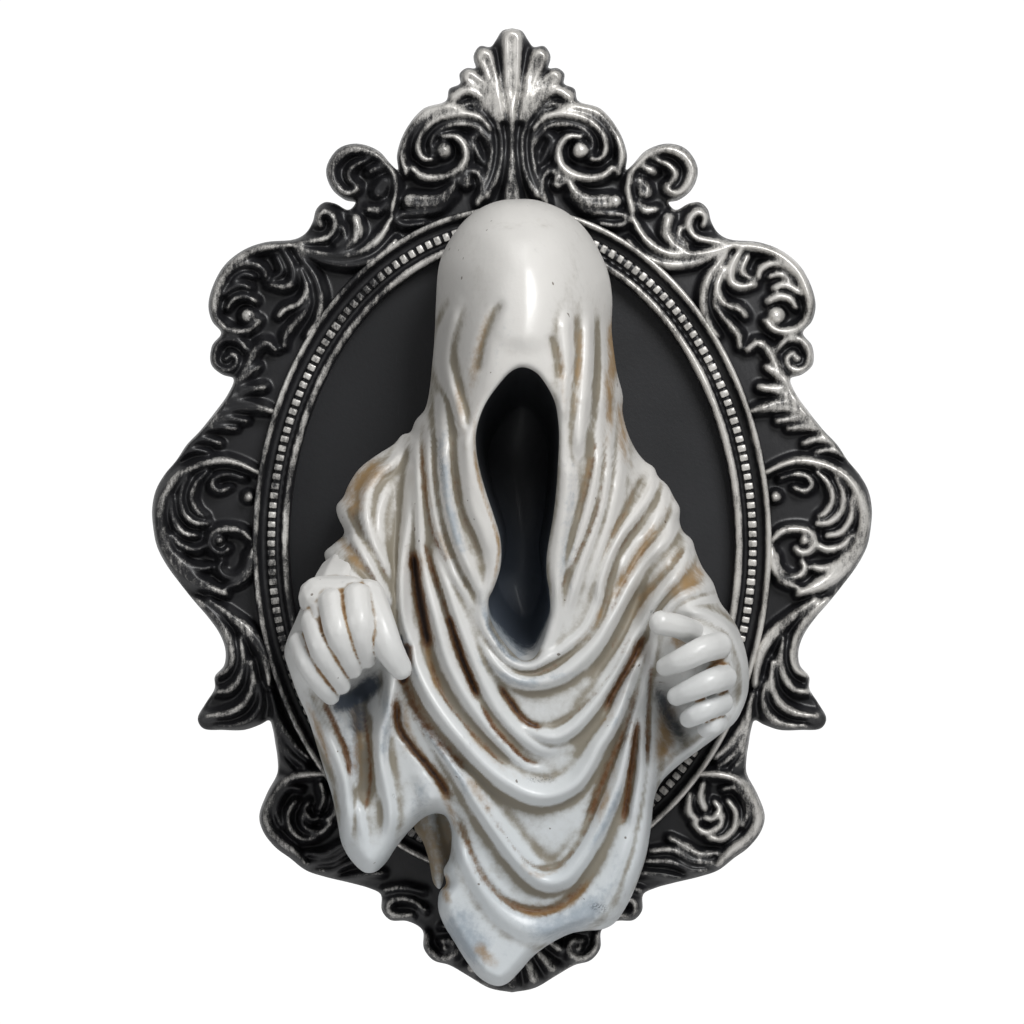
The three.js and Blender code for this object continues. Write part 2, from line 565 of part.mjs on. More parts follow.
// A solid with a wavy front over a grid of the chart and a flat back.
function relief(frontAt, backDepth, [left, right], [low, high], cell) {
  const columns = Math.round((right - left) / cell);
  const rows = Math.round((high - low) / cell);
  const positions = [];
  for (let r = 0; r <= rows; r++)
    for (let c = 0; c <= columns; c++) {
      const x = left + ((right - left) * c) / columns;
      const z = low + ((high - low) * r) / rows;
      const [px, pz] = placed([x, z]);
      positions.push(px, -frontAt(x, z), pz);
    }
  const index = [];
  const at = (r, c) => r * (columns + 1) + c;
  for (let r = 0; r < rows; r++)
    for (let c = 0; c < columns; c++) {
      const [a, b, d, e] = [at(r, c), at(r, c + 1), at(r + 1, c), at(r + 1, c + 1)];
      if ((r + c) % 2) index.push(a, b, e, a, e, d);
      else index.push(a, b, d, b, e, d);
    }
  const rim = [];
  for (let c = 0; c < columns; c++) rim.push(at(0, c));
  for (let r = 0; r < rows; r++) rim.push(at(r, columns));
  for (let c = columns; c > 0; c--) rim.push(at(rows, c));
  for (let r = rows; r > 0; r--) rim.push(at(r, 0));
  const behindRim = positions.length / 3;
  for (const i of rim) positions.push(positions[3 * i], -backDepth, positions[3 * i + 2]);
  const middle = positions.length / 3;
  const [middleX, middleZ] = placed([(left + right) / 2, (low + high) / 2]);
  positions.push(middleX, -backDepth, middleZ);
  rim.forEach((a, i) => {
    const next = (i + 1) % rim.length;
    index.push(a, behindRim + i, behindRim + next, a, behindRim + next, rim[next]);
    index.push(behindRim + i, middle, behindRim + next);
  });
  const geometry = new THREE.BufferGeometry();
  geometry.setAttribute("position", new THREE.Float32BufferAttribute(positions, 3));
  geometry.setIndex(index);
  return solidFrom(geometry);
}

// A round limb through [x, z, depth] points of the chart with a radius at each.
function limb(points, radii, steps) {
  const curve = new THREE.CatmullRomCurve3(
    points.map(([x, z, depth]) => {
      const [px, pz] = placed([x, z]);
      return new THREE.Vector3(px, -depth, pz);
    }),
  );
  const stations = curve.getPoints(steps);
  const frames = curve.computeFrenetFrames(steps);
  const ring = (centre, i, radius) =>
    Array.from({ length: FINGER_SIDES }, (_, s) => {
      const angle = (s / FINGER_SIDES) * 2 * Math.PI;
      const p = centre
        .clone()
        .addScaledVector(frames.normals[i], radius * Math.cos(angle))
        .addScaledVector(frames.binormals[i], radius * Math.sin(angle));
      return [p.x, -p.y, p.z];
    });
  const rings = stations.map((p, i) => ring(p, i, along(radii, i / steps) * FIGURE_SCALE));
  const endRadius = radii[radii.length - 1] * FIGURE_SCALE;
  const tip = stations[steps].clone().addScaledVector(frames.tangents[steps], endRadius * 0.8);
  rings.push(ring(tip, steps, endRadius * 0.45));
  return skin(rings);
}

function palmSolid([[x, z, depth], radius, thickness]) {
  const ball = new THREE.SphereGeometry(radius * FIGURE_SCALE, 7, 5);
  ball.scale(1, thickness / radius, 1);
  const [px, pz] = placed([x, z]);
  ball.translate(px, -depth + thickness, pz);
  return solidFrom(ball);
}

function buildFigure() {
  const outline = FIGURE_LINE.map(placed);
  let figure = relief(clothDepth, BOARD_DEPTH + CLEARANCE, [-90, 94], [-168, 132], CELL);
  figure = figure.intersect(prism(outline, 0, 130));

  for (const fold of FOLDS) figure = figure.add(foldSolid(fold));

  const behind = prism(ellipse(60, 40), -1, BEHIND_FIGURE).subtract(prism(ellipse(-2), -2, 60));
  figure = figure.subtract(behind);

  const inner = (x, z) =>
    z > HOLLOW_TOP ? BEHIND_FIGURE - 20 : clothDepth(x, z, CLOTH_THICKNESS);
  figure = figure.subtract(relief(inner, -2, [-94, 98], [-172, -60], HOLLOW_CELL));

  const opening = smoothLine(HOOD_OPENING, 24, true).slice(0, -1).map(placed);
  const [middleX, middleZ] = placed([3, 14]);
  const shrunk = (share) =>
    opening.map(([x, z]) => [middleX + (x - middleX) * share, middleZ + (z - middleZ) * share]);
  const level = (share, depth) => shrunk(share).map(([x, z]) => [x, depth, z]);
  figure = figure.subtract(
    skin([level(0.7, HOOD_HOLLOW_FLOOR), level(1.04, HOOD_HOLLOW_FLOOR + 18), level(1, 140)]),
  );

  for (const hand of Object.values(HANDS)) {
    const [sleeve, palm, radii] = hand.wrist;
    figure = figure.add(limb([sleeve, palm], radii, 1)).add(palmSolid(hand.palm));
    for (const [knuckle, middle, tip, radii] of hand.fingers)
      figure = figure.add(limb([knuckle, middle, tip], radii, 2));
  }
  for (const [points, radius] of CUFFS)
    figure = figure.add(limb(points, [radius * 0.7, radius, radius * 0.8], 5));
  return figure;
}

// Materials

const frameMaterial = new THREE.MeshStandardMaterial({
  color: 0x55565a,
  roughness: 0.45,
  metalness: 0.5,
});
const boardMaterial = new THREE.MeshStandardMaterial({
  color: 0x17181a,
  roughness: 0.5,
  metalness: 0,
});
const figureMaterial = new THREE.MeshStandardMaterial({
  color: 0xd8d4ca,
  roughness: 0.4,
  metalness: 0,
});

const ghostPlaque = new THREE.Group();
ghostPlaque.add(meshFrom("baroque_frame", buildFrame(), frameMaterial));
ghostPlaque.add(meshFrom("oval_back_board", buildBoard(), boardMaterial));
ghostPlaque.add(meshFrom("ghost_figure", buildFigure(), figureMaterial));

export default ghostPlaque;
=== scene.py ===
"""Looks of the ghost wall sculpture: a carved black and silver oval frame and an ivory robed figure."""

import math

import bmesh
import bpy
import numpy as np
from mathutils import Matrix, Vector


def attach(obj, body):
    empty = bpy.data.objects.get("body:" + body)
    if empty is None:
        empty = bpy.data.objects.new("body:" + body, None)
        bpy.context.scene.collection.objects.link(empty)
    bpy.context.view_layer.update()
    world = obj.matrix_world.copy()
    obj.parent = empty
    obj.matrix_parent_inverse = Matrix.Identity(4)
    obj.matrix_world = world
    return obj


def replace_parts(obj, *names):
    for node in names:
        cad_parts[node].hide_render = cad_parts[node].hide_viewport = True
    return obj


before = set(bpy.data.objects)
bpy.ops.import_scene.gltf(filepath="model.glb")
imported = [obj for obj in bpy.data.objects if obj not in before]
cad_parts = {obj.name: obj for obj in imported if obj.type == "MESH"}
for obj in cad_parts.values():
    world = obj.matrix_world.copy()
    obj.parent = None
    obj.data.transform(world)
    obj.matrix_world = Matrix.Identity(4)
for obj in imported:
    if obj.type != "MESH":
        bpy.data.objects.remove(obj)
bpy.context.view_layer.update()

MM = 0.001

# The front view: where the camera stands, in millimetres
CAMERA_DISTANCE = 1550.0
CAMERA_HEIGHT = 11.8
VIEW_WIDTH = 382.4
VIEW_PLANE_DEPTH = 15.0
SENSOR_WIDTH = 36.0

# The oval, as in the solids, in millimetres
OVAL_HALF_WIDTH = 84.0
OVAL_HALF_HEIGHT = 113.0

# The nets, in millimetres: heights are worked out on the lattice, and meshes have these cells
LATTICE_STEP = 0.45
CARVING_CELL = 0.54
ROBE_CELL = 0.7
BACK_CELL = 3.0
HAND_CELL = 0.62
LINE_STEPS = 7  # steps between two points of a rib, a fold or a stroke

# The carving, in millimetres unless it says a share
FRAME_REACH = 137
FRAME_LOW = -171
FRAME_HIGH = 196
GROUND_DEPTH = 10.0
GROUND_FALL = 2.0  # how much lower the ground is at the outer edge
FRAME_EDGE_DEPTH = 5.0
FRAME_EDGE_ROLL = 1.5
CARVING_OVERLAP = 1.2  # how far the carving runs in under the moulding
SKIRT = 1.5  # how far the carved mass reaches past a rib's own width
SKIRT_SHARE = 0.42  # the mass's height beside a rib, as a share of the rib's lift
RIB_SPREAD = 1.14  # ribs are this many times as wide as their rows say
FLUTE = 0.24  # how deep the hollow along the middle of a wide leaf is, as a share of its lift
CREST_HIGHLIGHT = 0.26  # painted highlight: the palmette at the top is painted with more silver

# The moulding and its beads, in millimetres
MOULDING_OUT = 13.0
MOULDING_STEPS = 720
MOULDING_WOBBLE = 0.12
BEAD_COUNT = 184
BEAD_OUT = 6.0
BEAD_WIDTH = 3.0
BEAD_LENGTH = 2.35
BEAD_RISE = 2.4
BEAD_BASE = 12.9
BEAD_BEVEL = 0.42

# The robe, in millimetres unless it says a share
ROBE_NET = (-92, 95, -171, 134)  # left, right, low and high
ROBE_LAYERS = ["valley", "broad", "stain", "deep", "cool", "soot", "inside"]
BODY_MIDDLE = 4.0
BODY_SIDE_DEPTH = 30
BODY_SQUARENESS = 2.4  # 2 would be an ellipse across, and more is squarer
BODY_SOFTNESS = 2.6  # how far body, arms and sleeves run into each other
FOLD_SPREAD = 1.3  # folds are this many times as wide as their rows say
FOLD_RISE = 1.12  # and this many times as high
FOLD_BLEND = 5  # the higher this is, the sharper the valley where two folds meet
RECESS_DEPTH = 4.0
VALLEY_SUNK = 1.2  # a valley sunk this far gets all its grey-brown dirt and painted shade
CREASE_SUNK = 0.35  # and so does a narrow crease
BROAD_SUNK = 2.6  # and a wide hollow
OPENING_RIM = 1.3  # height of the rolled rim beside the hood's opening
OPENING_RIM_AWAY = 2.6  # from the opening to the middle of that rim
OPENING_RIM_HALF = 3.0  # half its width
OPENING_LIP = 2.2  # radius of the rounded lip
BOARD_FACE = 5.6  # the figure's back where it meets the board
OVER_FRAME_DEPTH = 18.8  # the figure's back where it lies over the moulding
HOLLOW_TOP = -66.0  # below this height the robe hangs free, with a hollow behind it
CLOTH_THICKNESS = 6.5
WALL_STEPS = 12
WALL_DRAW_IN = 3.0  # how far the robe's side narrows towards the wall
BACK_INSET = 2.6
LINING_STEPS = 16
LINING_DEPTH = 38.5
LINING_MIDDLE = (3, 14)
LINING_SHRINK = 0.3  # how much narrower the hollow is at its end, as a share
INNER_CLOTH_NET = (-40, -16, -134, -88)
INNER_CLOTH_DEPTH = 38.0
INNER_CLOTH_THICKNESS = 4.0
INNER_CLOTH_CREASE = 1.8
INNER_CLOTH_ROLL = 1.8

# The hands
HAND_DEPTH = 85  # at this depth the front view shows a finger as thick as its row says
FINGER_FULLNESS = 1.02  # fingers are this many times as thick as their rows say
HAND_SMOOTHING = 2
FINGER_CREASE = 0.26  # how far a crease that holds all its glaze and painted shade is sunk, in millimetres

# The studio, in metres and watts; each lamp has a place, a size and a power
FLOOR_REACH = 2.4
FLOOR_LEVEL = -0.55
LAMPS = (
    ("key", (0.48, -1.05, 0.80), 0.55, 15.5),
    ("fill", (-0.95, -0.8, 0.25), 0.7, 2.0),
    ("top", (0.0, -0.25, 1.1), 0.5, 1.6),
)


# Small tools


def ramp(low, high, value):
    """0 at low, 1 at high and smooth between them."""
    t = np.clip((np.asarray(value, float) - low) / (high - low), 0, 1)
    return t * t * (3 - 2 * t)


def smooth_line(points, per_span=8, closed=False):
    """Points of a smooth curve that runs through the points given."""
    p = np.array(points, float)
    if closed:
        p = np.vstack([p[-1:], p, p[:2]])
    else:
        p = np.vstack([2 * p[:1] - p[1:2], p, 2 * p[-1:] - p[-2:-1]])
    out = []
    for i in range(1, len(p) - 2):
        p0, p1, p2, p3 = p[i - 1 : i + 3]
        t0 = 0.0
        t1 = t0 + np.linalg.norm(p1 - p0) ** 0.5
        t2 = t1 + np.linalg.norm(p2 - p1) ** 0.5
        t3 = t2 + np.linalg.norm(p3 - p2) ** 0.5
        t = np.linspace(t1, t2, per_span, endpoint=False)[:, None]
        a1 = (t1 - t) / (t1 - t0) * p0 + (t - t0) / (t1 - t0) * p1
        a2 = (t2 - t) / (t2 - t1) * p1 + (t - t1) / (t2 - t1) * p2
        a3 = (t3 - t) / (t3 - t2) * p2 + (t - t2) / (t3 - t2) * p3
        b1 = (t2 - t) / (t2 - t0) * a1 + (t - t0) / (t2 - t0) * a2
        b2 = (t3 - t) / (t3 - t1) * a2 + (t - t1) / (t3 - t1) * a3
        out.append((t2 - t) / (t2 - t1) * b1 + (t - t1) / (t2 - t1) * b2)
    if not closed:
        out.append(p[-2:-1])
    return np.vstack(out)


def near_line(x, z, line):
    """Distance to a line, share of its length there, and which side: +1 on its left."""
    best = np.full(x.shape, np.inf)
    share = np.zeros(x.shape)
    side = np.ones(x.shape)
    steps = np.diff(line, axis=0)
    lengths = np.hypot(steps[:, 0], steps[:, 1])
    before = np.concatenate([[0], np.cumsum(lengths)])
    for i, (dx, dz) in enumerate(steps):
        if lengths[i] < 1e-9:
            continue
        t = np.clip(((x - line[i, 0]) * dx + (z - line[i, 1]) * dz) / lengths[i] ** 2, 0, 1)
        ex = x - line[i, 0] - t * dx
        ez = z - line[i, 1] - t * dz
        d = ex * ex + ez * ez
        m = d < best
        best[m] = d[m]
        share[m] = ((before[i] + t * lengths[i]) / before[-1])[m]
        side[m] = np.where(dx * ez - dz * ex >= 0, 1.0, -1.0)[m]
    return np.sqrt(best), share, side


def within(x, z, outline):
    """True where a point is inside a closed outline."""
    odd = np.zeros(x.shape, bool)
    following = np.roll(outline, -1, axis=0)
    for (ax, az), (bx, bz) in zip(outline, following):
        if az == bz:
            continue
        crosses = (az > z) != (bz > z)
        odd ^= crosses & (x < (bx - ax) * (z - az) / (bz - az) + ax)
    return odd


class Lattice:
    """A regular net over the front view, on which heights and distances are worked out."""

    def __init__(self, left, right, low, high, step=LATTICE_STEP):
        self.left = left
        self.low = low
        self.step = step
        self.x, self.z = np.meshgrid(
            np.arange(left, right + step, step), np.arange(low, high + step, step)
        )

    def zeros(self):
        return np.zeros(self.x.shape)

    def window(self, line, reach):
        """The part of the net near a line."""
        c0 = max(0, int((line[:, 0].min() - reach - self.left) / self.step))
        c1 = int((line[:, 0].max() + reach - self.left) / self.step) + 2
        r0 = max(0, int((line[:, 1].min() - reach - self.low) / self.step))
        r1 = int((line[:, 1].max() + reach - self.low) / self.step) + 2
        return slice(r0, max(r0, r1)), slice(c0, max(c0, c1))

    def signed_distance(self, outline):
        """Distance to a closed outline, negative inside it."""
        closed = np.vstack([outline, outline[:1]])
        distance = near_line(self.x, self.z, closed)[0]
        return np.where(within(self.x, self.z, outline), -distance, distance)

    def read(self, field, x, z):
        """The field's value at any points, between the net's own."""
        u = np.clip((x - self.left) / self.step, 0, field.shape[1] - 1.001)
        v = np.clip((z - self.low) / self.step, 0, field.shape[0] - 1.001)
        c, r = u.astype(int), v.astype(int)
        fu, fv = u - c, v - r
        low = field[r, c] * (1 - fu) + field[r, c + 1] * fu
        high = field[r + 1, c] * (1 - fu) + field[r + 1, c + 1] * fu
        return low * (1 - fv) + high * fv

    def slope(self, field):
        """The field's rise per millimetre along x and along z."""
        dz, dx = np.gradient(field, self.step)
        return dx, dz

    def blurred(self, field, radius):
        """The field averaged over about this radius, by three passes of a box."""
        half = max(1, int(round(radius / self.step / 1.7)))
        out = field
        for _ in range(3):
            for axis in (0, 1):
                pad = [(0, 0), (0, 0)]
                pad[axis] = (half + 1, half)
                total = np.cumsum(np.pad(out, pad, mode="edge"), axis=axis)
                size = 2 * half + 1
                if axis == 0:
                    out = (total[size:] - total[:-size]) / size
                else:
                    out = (total[:, size:] - total[:, :-size]) / size
        return out


def place(x, z, depth):
    """Real position, in metres, of what the front view shows at x, z when it lies this deep."""
    share = (CAMERA_DISTANCE - depth) / (CAMERA_DISTANCE - VIEW_PLANE_DEPTH)
    real_x = x * share
    real_z = CAMERA_HEIGHT + (z - CAMERA_HEIGHT) * share
    return np.stack([real_x, -depth, real_z], axis=1) * MM


def sheet(lattice, outside, cell, names):
    """A net of square faces over the region where outside is negative, fitted to its border."""
    height, width = outside.shape
    right = lattice.left + (width - 1) * lattice.step
    high = lattice.low + (height - 1) * lattice.step
    columns = int((right - lattice.left) / cell)
    rows = int((high - lattice.low) / cell)
    bm = started(*names)
    bmesh.ops.create_grid(bm, x_segments=columns, y_segments=rows, size=0.5)
    co = np.array([v.co for v in bm.verts])
    co[:, 0] = (co[:, 0] + 0.5) * (right - lattice.left) + lattice.left
    co[:, 1] = (co[:, 1] + 0.5) * (high - lattice.low) + lattice.low
    for v, (x, z, _) in zip(bm.verts, co):
        v.co = (x, z, 0)
    middles = np.array([f.calc_center_median() for f in bm.faces])
    gone = lattice.read(outside, middles[:, 0], middles[:, 1]) > -0.1 * cell
    faces = [f for f, g in zip(bm.faces, gone) if g]
    bmesh.ops.delete(bm, geom=faces, context="FACES")
    border = [v for v in bm.verts if v.is_boundary]
    fit_to_border(lattice, outside, border)
    near = {v for b in border for e in b.link_edges for v in e.verts}
    near |= {v for b in near for e in b.link_edges for v in e.verts}
    inner = [v for v in near if not v.is_boundary]
    for _ in range(6):
        bmesh.ops.smooth_vert(bm, verts=inner, factor=0.5, use_axis_x=True, use_axis_y=True)
    bm.verts.index_update()
    return bm


def fit_to_border(lattice, outside, verts):
    dx, dz = lattice.slope(outside)
    co = np.array([v.co for v in verts])
    for _ in range(4):
        value = lattice.read(outside, co[:, 0], co[:, 1])
        gx = lattice.read(dx, co[:, 0], co[:, 1])
        gz = lattice.read(dz, co[:, 0], co[:, 1])
        size = np.maximum(gx * gx + gz * gz, 0.2)
        co[:, 0] -= value * gx / size
        co[:, 1] -= value * gz / size
    for v, (x, z, _) in zip(verts, co):
        v.co = (x, z, 0)


def started(*names):
    """A new bmesh whose vertices carry these numbers."""
    bm = bmesh.new()
    for name in names:
        bm.verts.layers.float.new(name)
    return bm


def mark(bm, verts, **values):
    """Writes numbers into named layers of the vertices, one for all of them or one each."""
    for name, value in values.items():
        layer = bm.verts.layers.float[name]
        for v, number in zip(verts, np.broadcast_to(value, len(verts))):
            v[layer] = number


def finish_piece(name, bm, material):
    """Turns a bmesh in metres into a named smooth object with its material."""
    mesh = bpy.data.meshes.new(name)
    bm.to_mesh(mesh)
    bm.free()
    mesh.polygons.foreach_set("use_smooth", np.ones(len(mesh.polygons), bool))
    mesh.materials.append(material)
    piece = bpy.data.objects.new(name, mesh)
    bpy.context.scene.collection.objects.link(piece)
    return piece


def drawn_out(bm, rims):
    """Extrudes a border once: its new vertices, and its new border edges."""
    made = bmesh.ops.extrude_edge_only(bm, edges=rims)["geom"]
    verts = [g for g in made if isinstance(g, bmesh.types.BMVert)]
    edges = [g for g in made if isinstance(g, bmesh.types.BMEdge) and g.is_boundary]
    return verts, edges


def coordinates(bm):
    return np.array([v.co for v in bm.verts])


def set_coordinates(bm, co):
    for v, p in zip(bm.verts, co):
        v.co = p


# Materials


def hex_colour(code):
    """A linear colour from an sRGB hex value."""
    parts = [int(code[i : i + 2], 16) / 255 for i in (1, 3, 5)]
    linear = [c / 12.92 if c <= 0.04045 else ((c + 0.055) / 1.055) ** 2.4 for c in parts]
    return (*linear, 1.0)


def add(tree, kind, settings=None, **links):
    """Adds a node, sets its properties or socket values, and links its inputs.

    An input is named by its socket, or is input0, input1 and so on. A node given as a source
    stands for its first output.
    """
    made = tree.nodes.new(kind)
    for key, value in (settings or {}).items():
        if isinstance(key, int) or key in made.inputs:
            made.inputs[key].default_value = value
        else:
            setattr(made, key, value)
    for key, source in links.items():
        name = key.replace("_", " ")
        socket = made.inputs[int(name[5:])] if name.startswith("input") else made.inputs[name]
        tree.links.new(source.outputs[0] if isinstance(source, bpy.types.Node) else source, socket)
    return made


def start_material(name):
    material = bpy.data.materials.new(name)
    material.use_nodes = True
    tree = material.node_tree
    shader = tree.nodes["Principled BSDF"]
    place_at = add(tree, "ShaderNodeTexCoord").outputs["Object"]
    return material, tree, shader, place_at


def spots(scale, detail, rough=0.55):
    """Settings of a cloudy pattern: its spots are about 1000 / scale millimetres across."""
    return {"Scale": scale, "Detail": detail, "Roughness": rough}


def stretched(tree, value, low, high, *swings):
    """Stretches a value so that low becomes 0 and high becomes 1, smoothly.

    Before that each swing, a pattern with its share and its middle, pushes the value up and down.
    """
    for pattern, share, middle in swings:
        swing = add(tree, "ShaderNodeMath", {"operation": "SUBTRACT", 1: middle}, input0=pattern)
        swing = add(tree, "ShaderNodeMath", {"operation": "MULTIPLY", 1: share}, input0=swing)
        value = add(tree, "ShaderNodeMath", {"operation": "ADD"}, input0=value, input1=swing)
    settings = {"interpolation_type": "SMOOTHSTEP", "From Min": low, "From Max": high}
    return add(tree, "ShaderNodeMapRange", settings, Value=value)


def patchy(tree, value, pattern, share):
    """Thins a value out where the pattern is low and thickens it where the pattern is high."""
    thick = add(tree, "ShaderNodeMath", {"operation": "MULTIPLY", 1: share}, input0=pattern)
    thick = add(tree, "ShaderNodeMath", {"operation": "ADD", 1: 0.5}, input0=thick)
    return add(tree, "ShaderNodeMath", {"operation": "MULTIPLY"}, input0=value, input1=thick)


def painted(tree, share, under, over, strength=1.0):
    """Lays one colour over another, each a socket or a hex value, as thickly as the share says."""
    amount = add(tree, "ShaderNodeMath", {"operation": "MULTIPLY", 1: strength}, input0=share)
    made = add(tree, "ShaderNodeMix", {"data_type": "RGBA"}, input0=amount)
    for i, colour in ((6, under), (7, over)):
        if isinstance(colour, str):
            made.inputs[i].default_value = hex_colour(colour)
        else:
            tree.links.new(colour, made.inputs[i])
    return made.outputs[2]


def worn_silver_on_black():
    """Black lacquer on cast resin, dry-brushed with silver paint: the brush catches the high
    edges of the carving, so they shine a worn grey silver and the hollows stay black."""
    material, tree, shader, at = start_material("silver_brushed_black_resin")
    # Worn patches about 18 mm across, brush streaks of 1.6 mm and speckles of 0.7 mm
    coarse = add(tree, "ShaderNodeTexNoise", spots(55.0, 3.0), Vector=at)
    streak_at = add(tree, "ShaderNodeMapping", {"Scale": (1.0, 0.6, 0.35)}, Vector=at)
    streaks = add(tree, "ShaderNodeTexNoise", spots(620.0, 5.0, 0.7), Vector=streak_at)
    speckle = add(tree, "ShaderNodeTexNoise", spots(1500.0, 2.0, 0.6), Vector=at)
    # Painted light: the right side, where the light falls, is painted with more silver than the left
    side = add(tree, "ShaderNodeSeparateXYZ", Vector=at).outputs["X"]
    level = stretched(tree, side, -0.12, 0.10)
    level = add(tree, "ShaderNodeMath", {"operation": "MULTIPLY", 1: 0.27}, input0=level)
    level = add(tree, "ShaderNodeMath", {"operation": "SUBTRACT", 1: 0.115}, input0=level)
    high = add(tree, "ShaderNodeAttribute", {"attribute_name": "high"}).outputs["Fac"]
    level = add(tree, "ShaderNodeMath", {"operation": "ADD"}, input0=level, input1=high)
    swings = ((coarse, 1.0, 0.5), (streaks, 0.9, 0.5), (speckle, 0.4, 0.5))
    silver = stretched(tree, level, 0.39, 0.87, *swings)
    tone = painted(tree, coarse, "#aaa69f", "#f0eeea")
    black = painted(tree, coarse, "#101012", "#242427")
    tree.links.new(painted(tree, silver, black, tone), shader.inputs["Base Color"])
    metal = add(tree, "ShaderNodeMath", {"operation": "MULTIPLY", 1: 0.4}, input0=silver)
    tree.links.new(metal.outputs[0], shader.inputs["Metallic"])
    rough = add(tree, "ShaderNodeMapRange", {"To Min": 0.40, "To Max": 0.34}, Value=silver)
    tree.links.new(rough.outputs["Result"], shader.inputs["Roughness"])
    bump = add(tree, "ShaderNodeBump", {"Strength": 0.35, "Distance": 0.0003}, Height=streaks)
    tree.links.new(bump.outputs["Normal"], shader.inputs["Normal"])
    return material


def charcoal_board():
    """Satin charcoal paint on a flat board, a little clouded and with fine hairline scratches."""
    material, tree, shader, at = start_material("satin_charcoal_paint")
    # Clouds about 45 mm across, and a grain of 1.1 mm, coarser than the real one so that it shows
    cloud = add(tree, "ShaderNodeTexNoise", spots(22.0, 4.0), Vector=at)
    grain = add(tree, "ShaderNodeTexNoise", spots(900.0, 3.0, 0.6), Vector=at)
    slanted = {"Rotation": (0.0, 0.6, 0.0), "Scale": (1.0, 1.0, 0.04)}
    scratch_at = add(tree, "ShaderNodeMapping", slanted, Vector=at)
    scratch = add(tree, "ShaderNodeTexNoise", spots(900.0, 2.0, 0.5), Vector=scratch_at)
    marks = stretched(tree, scratch, 0.70, 0.78)
    worn = stretched(tree, cloud, 0.52, 0.66)
    marks = add(tree, "ShaderNodeMath", {"operation": "MULTIPLY"}, input0=marks, input1=worn)
    colour = painted(tree, cloud, "#0f1013", "#1b1c20")
    colour = painted(tree, marks, colour, "#4a4a50", 0.5)
    tree.links.new(colour, shader.inputs["Base Color"])
    rough = add(tree, "ShaderNodeMapRange", {"To Min": 0.36, "To Max": 0.52}, Value=cloud)
    tree.links.new(rough.outputs["Result"], shader.inputs["Roughness"])
    bump = add(tree, "ShaderNodeBump", {"Strength": 0.2, "Distance": 0.0002}, Height=grain)
    tree.links.new(bump.outputs["Normal"], shader.inputs["Normal"])
    return material


